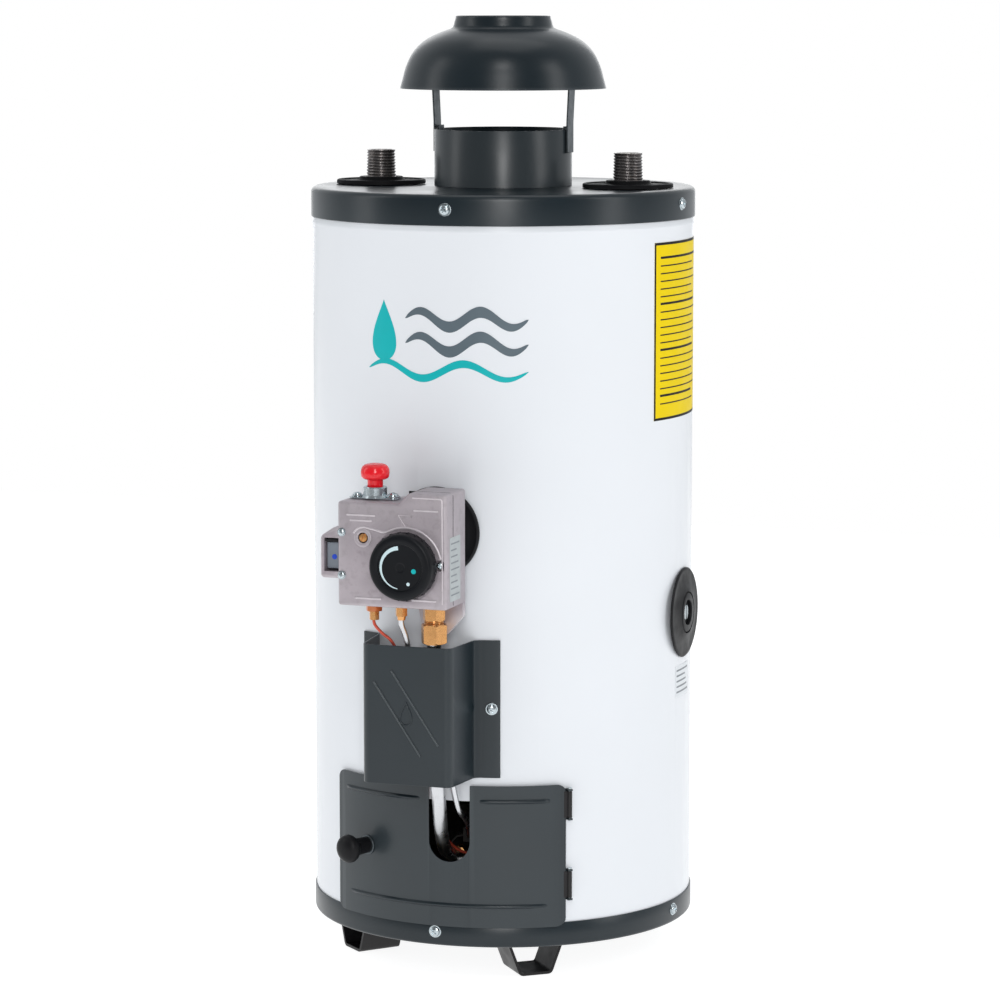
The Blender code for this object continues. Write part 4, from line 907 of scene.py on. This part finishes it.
def make_gas_lines():
    gas = [(*GAS_NUT, 312), (*GAS_NUT, 303), (11, -204.5, 290), (10, -200, 240), (9, -192, 182),
           (7, -182, 155), (2, -165, 131), (-2, -146, 112), (-3, -126, 101), (-3, -111, 99)]
    tube("gas_tube_drawn", curve_through(gas, 4), 6.0, "aluminium", replaces=["gas_tube"], sides=28)
    pilot = [(*PILOT_NUT, 329), (*PILOT_NUT, 318), (-12, -209, 303), (-8, -198, 262),
             (-2, -184, 228), (13, -181, 202), (18, -180, 176), (20, -170, 152), (20, -150, 138),
             (14, -128, 122), (11, -119, 118)]
    tube("pilot_tube_drawn", curve_through(pilot, 3), 2.4, "aluminium", replaces=["pilot_tube"])
    lead = [(*COUPLE_NUT, 325), (*COUPLE_NUT, 317), (-33, -212.5, 309), (-25, -208, 300),
            (-18, -198, 275), (-12, -184, 225), (0, -178.5, 190), (-0.5, -172.5, 162),
            (-2, -160, 142), (-4, -146, 126), (2, -128, 108), (14, -117, 101),
            (22.5, -112.5, 102), (24, -112, 111.8)]
    tube("thermocouple_lead_drawn", curve_through(lead, 3), 1.3, "lead",
         replaces=["thermocouple_lead"], sides=14)


# ---- burner cover ------------------------------------------------------------------
def make_cover():
    seat, sheet, bend = JACKET_R + 0.6, 1.2, 6.0
    low, high = COVER_LOW.z, COVER_HIGH.z
    right = [flat_xy(seat, b) for b in (18.7, 17.4, 16.2, 15.0, 13.8, 12.6)]
    left = [flat_xy(seat, b) for b in (-19.6, -20.8, -22.0, -23.2, -24.4, -25.6)]
    inner_front = COVER_FRONT + sheet
    foot_right = [(33.4, -166.2), (32.2, -167.6), (31.6, -170)]
    foot_left = [(-54.0, -170), (-54.6, -164.5), (-55.4, -161.2)]
    front_right = arc((COVER_SIDES[1] - sheet - bend, inner_front + bend), bend, 0, -90, 8)
    front_left = arc((COVER_SIDES[0] + sheet + bend, inner_front + bend), bend, -90, -180, 8)
    path = right + foot_right + front_right + front_left + foot_left + left
    cover = piece("burner_cover_bent", prism(strip(path, sheet), low, high), "grey_enamel",
                  replaces=["burner_cover"])
    round_edges(cover, 0.3, 2, 60)
    for name, bearing in COVER_SCREWS.items():
        screw(f"cover_screw_{name}_head", outward(seat + sheet + 1.1, bearing, COVER_SCREW_Z),
              scale=0.95, turn=12, replaces=[f"cover_screw_{name}"])
    middle_x, middle_z = sum(COVER_SIDES) / 2, (low + high) / 2 + 2
    for name, side in (("upper", 1), ("lower", -1)):
        rib = [(middle_x - 21 + side * 8, middle_z + 31 + side * 5),
               (middle_x + 21 + side * 8, middle_z - 31 + side * 5)]
        emboss(f"cover_rib_{name}", rib, 1.1, 2.0)
    drop = [(middle_x + 7.5 * sin(t) * sin(t / 2) ** 1.6, middle_z + 10 * cos(t))
            for t in (2 * pi * k / 48 for k in range(49))]
    emboss("cover_emboss_drop", drop, 0.8, 1.5)


def emboss(name, points, height, width):
    """A low rounded ridge pressed into the cover's front."""
    route = [Vector((x, COVER_FRONT, z)) for x, z in points]
    press_flat(tube(name, route, width / 2, "grey_enamel", sides=12), COVER_FRONT,
               height / (width / 2))


# ---- door -------------------------------------------------------------------------
def bead(name, first, last, z, width, height):
    """A pressed horizontal bead on the door, fading out at both ends."""
    bm = bmesh.new()
    columns, across = 40, 8
    rows = []
    for j in range(columns + 1):
        bearing = first + (last - first) * j / columns
        fade = min(1.0, 9.0 * min(j, columns - j) / columns)
        fade = fade * fade * (3 - 2 * fade)
        rows.append([bm.verts.new(at_bearing(DOOR_R + DOOR_SHEET - 0.15
                                             + (height + 0.15) * fade * sin(pi * i / across),
                                             bearing, z + width * (i / across - 0.5)))
                     for i in range(across + 1)])
    for low, high in zip(rows, rows[1:]):
        for i in range(across):
            bm.faces.new((low[i], low[i + 1], high[i + 1], high[i]))
        bm.faces.new((low[0], high[0], high[-1], low[-1]))
    bm.faces.new(rows[0])
    bm.faces.new(rows[-1])
    bmesh.ops.remove_doubles(bm, verts=bm.verts, dist=0.001)
    return piece(name, bm, "grey_enamel", "door", sharp=60)


def make_door():
    low, high = DOOR_LOW.z, DOOR_HIGH.z
    outer, inner = ([flat_xy(radius, -42 + 84 * k / 96) for k in range(97)]
                    for radius in (DOOR_R + DOOR_SHEET, DOOR_R))
    door = piece("door_panel", prism(outer + inner[::-1], low - 5, high + 5), "grey_enamel",
                 "door", replaces=["access_door"])
    shape(door, facing_prism(rounded_box(DOOR_EDGES[0], low, DOOR_EDGES[1], high, 7, 8), -200, -60),
          "INTERSECT")
    slot = [(SLOT_X + SLOT_HALF, high + 9), (SLOT_X - SLOT_HALF, high + 9)]
    slot += arc((SLOT_X, SLOT_Z), SLOT_HALF, 180, 360, 32)
    shape(door, facing_prism(slot, -200, -140))
    edge = degrees(atan2(DOOR_EDGES[1], sqrt(DOOR_R ** 2 - DOOR_EDGES[1] ** 2)))
    hinge = shift(at_bearing(HINGE_R, HINGE_BEARING))
    for number, (z0, z1) in enumerate(HINGE_SPANS, start=1):
        leaf = [flat_xy(DOOR_R + 0.05, edge - 0.8), flat_xy(DOOR_R + 0.5, HINGE_BEARING - 0.1),
                flat_xy(DOOR_R + 1.6, HINGE_BEARING - 0.1), flat_xy(DOOR_R + DOOR_SHEET + 0.1, edge - 0.8)]
        piece(f"door_hinge_leaf_{number}", prism(leaf, z0, z1), "foot_enamel", "door", bevel=0.15)
        bore = PIN_R + 0.3
        barrel = [(bore, z0), (BARREL_R - 0.3, z0), (BARREL_R, z0 + 0.3), (BARREL_R, z1 - 0.3),
                  (BARREL_R - 0.3, z1), (bore, z1)]
        piece(f"door_hinge_barrel_{number}", turned(barrel, 40), "foot_enamel", "door", hinge)
    bead("door_bead_top_left", -34, -4.8, 159.5, 4.2, 1.8)
    bead("door_bead_top_right", 12.4, 33.5, 159.5, 4.2, 1.8)
    bead("door_bead_low", -33, 33.5, 68, 4.2, 1.8)
    where = outward(DOOR_R + DOOR_SHEET + 0.3, KNOB_BEARING, KNOB_Z)
    collar = [(3.1, 0), (8.0, 0), (8.4, 0.4), (8.4, 1.0), (7.9, 1.4), (3.1, 1.4)]
    piece("knob_ferrule", turned(collar, 48), "strap_steel", "door", where, ["knob_collar"])
    knob = [(0, -5), (2.6, -5), (2.6, 1.8), (6.7, 1.8), (7.1, 2.2), (7.1, 5), (7.3, 10),
            (7.9, 15.4), (8.6, 16.9), (10.3, 18.6), (11.6, 20.3), (12.2, 22.0), (12.3, 23.6),
            (11.9, 25.4), (10.8, 27.1), (8.8, 28.6), (6.0, 29.7), (3.0, 30.2), (0, 30.4)]
    piece("knob_moulded", turned(knob, 72), "black_plastic", "door", where, ["door_knob"], sharp=50)


# ---- drain --------------------------------------------------------------------------
def make_drain():
    start = 139.8
    face = DRAIN_FACE_X - start
    body = [(5, 0), (10.6, 0), (10.6, 28.5), (17.4, 28.5), (17.6, 28.8), (17.6, face - 1.4),
            (17.2, face - 0.5), (16.4, face), (11.6, face), (11.1, face - 0.4), (11, face - 1),
            (11, face - 3), (7.4, face - 3), (7.4, face - 9), (5, face - 9)]
    piece("drain_moulded", turned(body, 72), "black_plastic", place=outward(start, 90, DRAIN_Z),
          replaces=["drain_valve"])
    where = outward(STEM_X, 90, DRAIN_Z)
    stem = piece("drain_stem_turned", turned([(0, -6.6), (7, -6.6), (7, -0.7), (6.4, 0), (0, 0)], 56),
                 "zinc", "drain_turn", where, ["drain_stem"])
    shape(stem, box((-1.1, -20, -2), (1.1, 20, 4)), place=where)


# ---- decals --------------------------------------------------------------------------
def decal(name, rows, finish, bearing, lift=0.05):
    piece(name, wrapped(rows, JACKET_R + lift, 0.12, bearing), finish)


def make_yellow_label():
    """Plain yellow sheet with a dark frame and ruled bars: no words."""
    bearing, half, low, high, border = 89.0, 55.5, 479.0, 632.0, 2.2
    decal("yellow_label", film_box(-half, low, half, high), "yellow_label", bearing)
    edges = ((-half, low, half, low + border), (-half, high - border, half, high),
             (-half, low + border, -half + border, high - border),
             (half - border, low + border, half, high - border))
    for number, (s0, z0, s1, z1) in enumerate(edges, start=1):
        decal(f"yellow_label_edge_{number}", film_box(s0, z0, s1, z1), "black_ink", bearing, 0.12)
    for number in range(20):
        z = high - 14 - number * 6.6
        inset, thick = 9 + (number * 5) % 7 * 3.5, 1.1 if number % 6 else 2.0
        decal(f"yellow_label_rule_{number + 1}",
              film_box(-half + 9, z, half - inset, z + thick), "black_ink", bearing, 0.12)


def make_white_sticker():
    bearing, half, low, high = 90.0, 18.5, 231.0, 259.0
    decal("small_sticker", film_box(-half, low, half, high), "white_label", bearing)
    for number in range(5):
        z = high - 5 - number * 4.8
        decal(f"small_sticker_rule_{number + 1}",
              film_box(-half + 2.5, z, half - 3 - (number * 3) % 4 * 3, z + 1.5), "grey_ink",
              bearing, 0.12)


def make_front_mark():
    """A generic water mark: a droplet beside stacked waves."""
    bearing, middle = 1.2, 554.5
    steps = 60
    for number, (height, finish, length, width) in enumerate(
            ((17, "mark_grey", 108, 9.5), (-4, "mark_grey", 108, 9.5), (-27, "mark_teal", 147, 6.5)),
            start=1):
        start = 75 - length
        path = [(start + length * k / steps, middle + height + 6.5 * sin(2 * pi * k / steps * 2))
                for k in range(steps + 1)]
        widths = [0.3 + width * sin(pi * k / steps) ** 0.45 for k in range(steps + 1)]
        decal(f"mark_wave_{number}", film_ribbon(path, widths), finish, bearing)
    rows = [[(-55 + scale * 18 * sin(t) * sin(t / 2) ** 1.4, middle + 6 + scale * 26 * cos(t))
             for t in (2 * pi * k / 48 for k in range(48))] for scale in (0.02, 0.25, 0.5, 0.75, 1.0)]
    bm = bmesh.new()
    rings = [[bm.verts.new(at_bearing(JACKET_R + 0.12, bearing + degrees(s / JACKET_R), z))
              for s, z in row] for row in rows]
    for low, high in zip(rings, rings[1:]):
        link_rings(bm, low, high)
    bm.faces.new(rings[0])
    solid = bmesh.ops.extrude_face_region(bm, geom=list(bm.faces))
    for vertex in solid["geom"]:
        if isinstance(vertex, bmesh.types.BMVert):
            vertex.co.xy *= 1 - 0.1 / JACKET_R
    piece("mark_drop", bm, "mark_teal")


# ---- stage ------------------------------------------------------------------------------
def make_stage():
    """A white sheet below, a room brighter behind than before, and tall soft boxes."""
    bm = bmesh.new()
    bmesh.ops.create_grid(bm, x_segments=8, y_segments=8, size=2600)
    piece("floor", bm, "floor", body=None)
    world = bpy.data.worlds.new("studio")
    bpy.context.scene.world = world
    world.use_nodes = True
    nodes, links = world.node_tree.nodes, world.node_tree.links
    seen, cast = nodes["Background"], nodes.new("ShaderNodeBackground")
    seen.inputs["Color"].default_value = (1.0, 1.0, 1.0, 1.0)
    cast.inputs["Color"].default_value = (0.94, 0.97, 1.0, 1.0)
    facing = nodes.new("ShaderNodeVectorMath")
    facing.operation = "DOT_PRODUCT"
    facing.inputs[1].default_value = at_bearing(1, CAMERA_BEARING)
    links.new(nodes.new("ShaderNodeTexCoord").outputs["Generated"], facing.inputs[0])
    links.new(spread(nodes, links, facing.outputs["Value"], 0.85, 0.16, -1.0, 0.8),
              cast.inputs["Strength"])
    mix = nodes.new("ShaderNodeMixShader")
    links.new(nodes.new("ShaderNodeLightPath").outputs["Is Camera Ray"], mix.inputs["Fac"])
    links.new(cast.outputs["Background"], mix.inputs[1])
    links.new(seen.outputs["Background"], mix.inputs[2])
    links.new(mix.outputs["Shader"], nodes["World Output"].inputs["Surface"])
    for name, bearing, distance, height, width, tall, power in LAMPS:
        lamp(name, at_bearing(distance, bearing + CAMERA_BEARING, height), Vector((0, 0, 0.45)),
             width, tall, power)
    lamp("top", Vector((0.0, 0.3, 2.6)), Vector((0, 0, 0.4)), 1.4, 1.4, 5.0)


def lamp(name, position, aim, width, tall, power):
    data = bpy.data.lights.new(name, "AREA")
    data.shape, data.size, data.size_y, data.energy = "RECTANGLE", width, tall, power
    made = bpy.data.objects.new(name, data)
    bpy.context.scene.collection.objects.link(made)
    made.location = position
    made.rotation_euler = (aim - position).to_track_quat("-Z", "Y").to_euler()
    made.visible_camera = False


def make_camera():
    """The photograph's viewpoint: above the vent's lip, a little to the heater's right."""
    eye = at_bearing(CAMERA_DISTANCE, CAMERA_BEARING, CAMERA_HEIGHT)
    side = at_bearing(1, CAMERA_BEARING + 90)
    target = AIM_SIDE * side + Vector((0, 0, AIM_HEIGHT))
    data = bpy.data.cameras.new("camera")
    data.lens = CAMERA_LENS
    data.sensor_width = 36.0
    camera = bpy.data.objects.new("camera", data)
    bpy.context.scene.collection.objects.link(camera)
    camera.location = eye * MM + AXIS
    camera.rotation_euler = (target - eye).to_track_quat("-Z", "Y").to_euler()
    bpy.context.scene.camera = camera
    bpy.context.scene.view_settings.view_transform = "Standard"


def finish_frame_nodes():
    """Give the CAD nodes that stay in sight, or inside, the same finishes."""
    kept = {"steel": ("tank", "flue_baffle", "cold_nipple", "hot_nipple", "thermostat_shank"),
            "soot": ("flue_tube", "combustion_chamber", "heat_shield", "main_burner",
                     "burner_venturi", "burner_bracket", "pilot_burner", "thermocouple_tip"),
            "zinc": ("button_spring", "hinge_pin_upper", "hinge_pin_lower"),
            "grey_enamel": ("hinge_bracket_upper", "hinge_bracket_lower"),
            "foam": ("tank_insulation", "chamber_insulation"),
            "natural_plastic": ("dip_tube",), "magnesium": ("anode_rod",),
            "copper": ("thermostat_probe",), "brass": ("main_orifice",)}
    for finish, nodes in kept.items():
        for node in nodes:
            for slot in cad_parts[node].material_slots:
                slot.material = FINISH[finish]


FINISH = make_materials()
SCREW = make_screw_mesh()
for make in (make_camera, make_stage, finish_frame_nodes, make_jacket, make_lid, make_pan,
             make_collar, make_hood, make_shell_screws, make_feet, make_water_connections,
             make_port_escutcheons, make_valve_body, make_valve_label, make_pilot_screw,
             make_inlet, make_dial, make_button, make_fittings, make_gas_lines, make_cover,
             make_door, make_drain, make_yellow_label, make_white_sticker, make_front_mark):
    make()
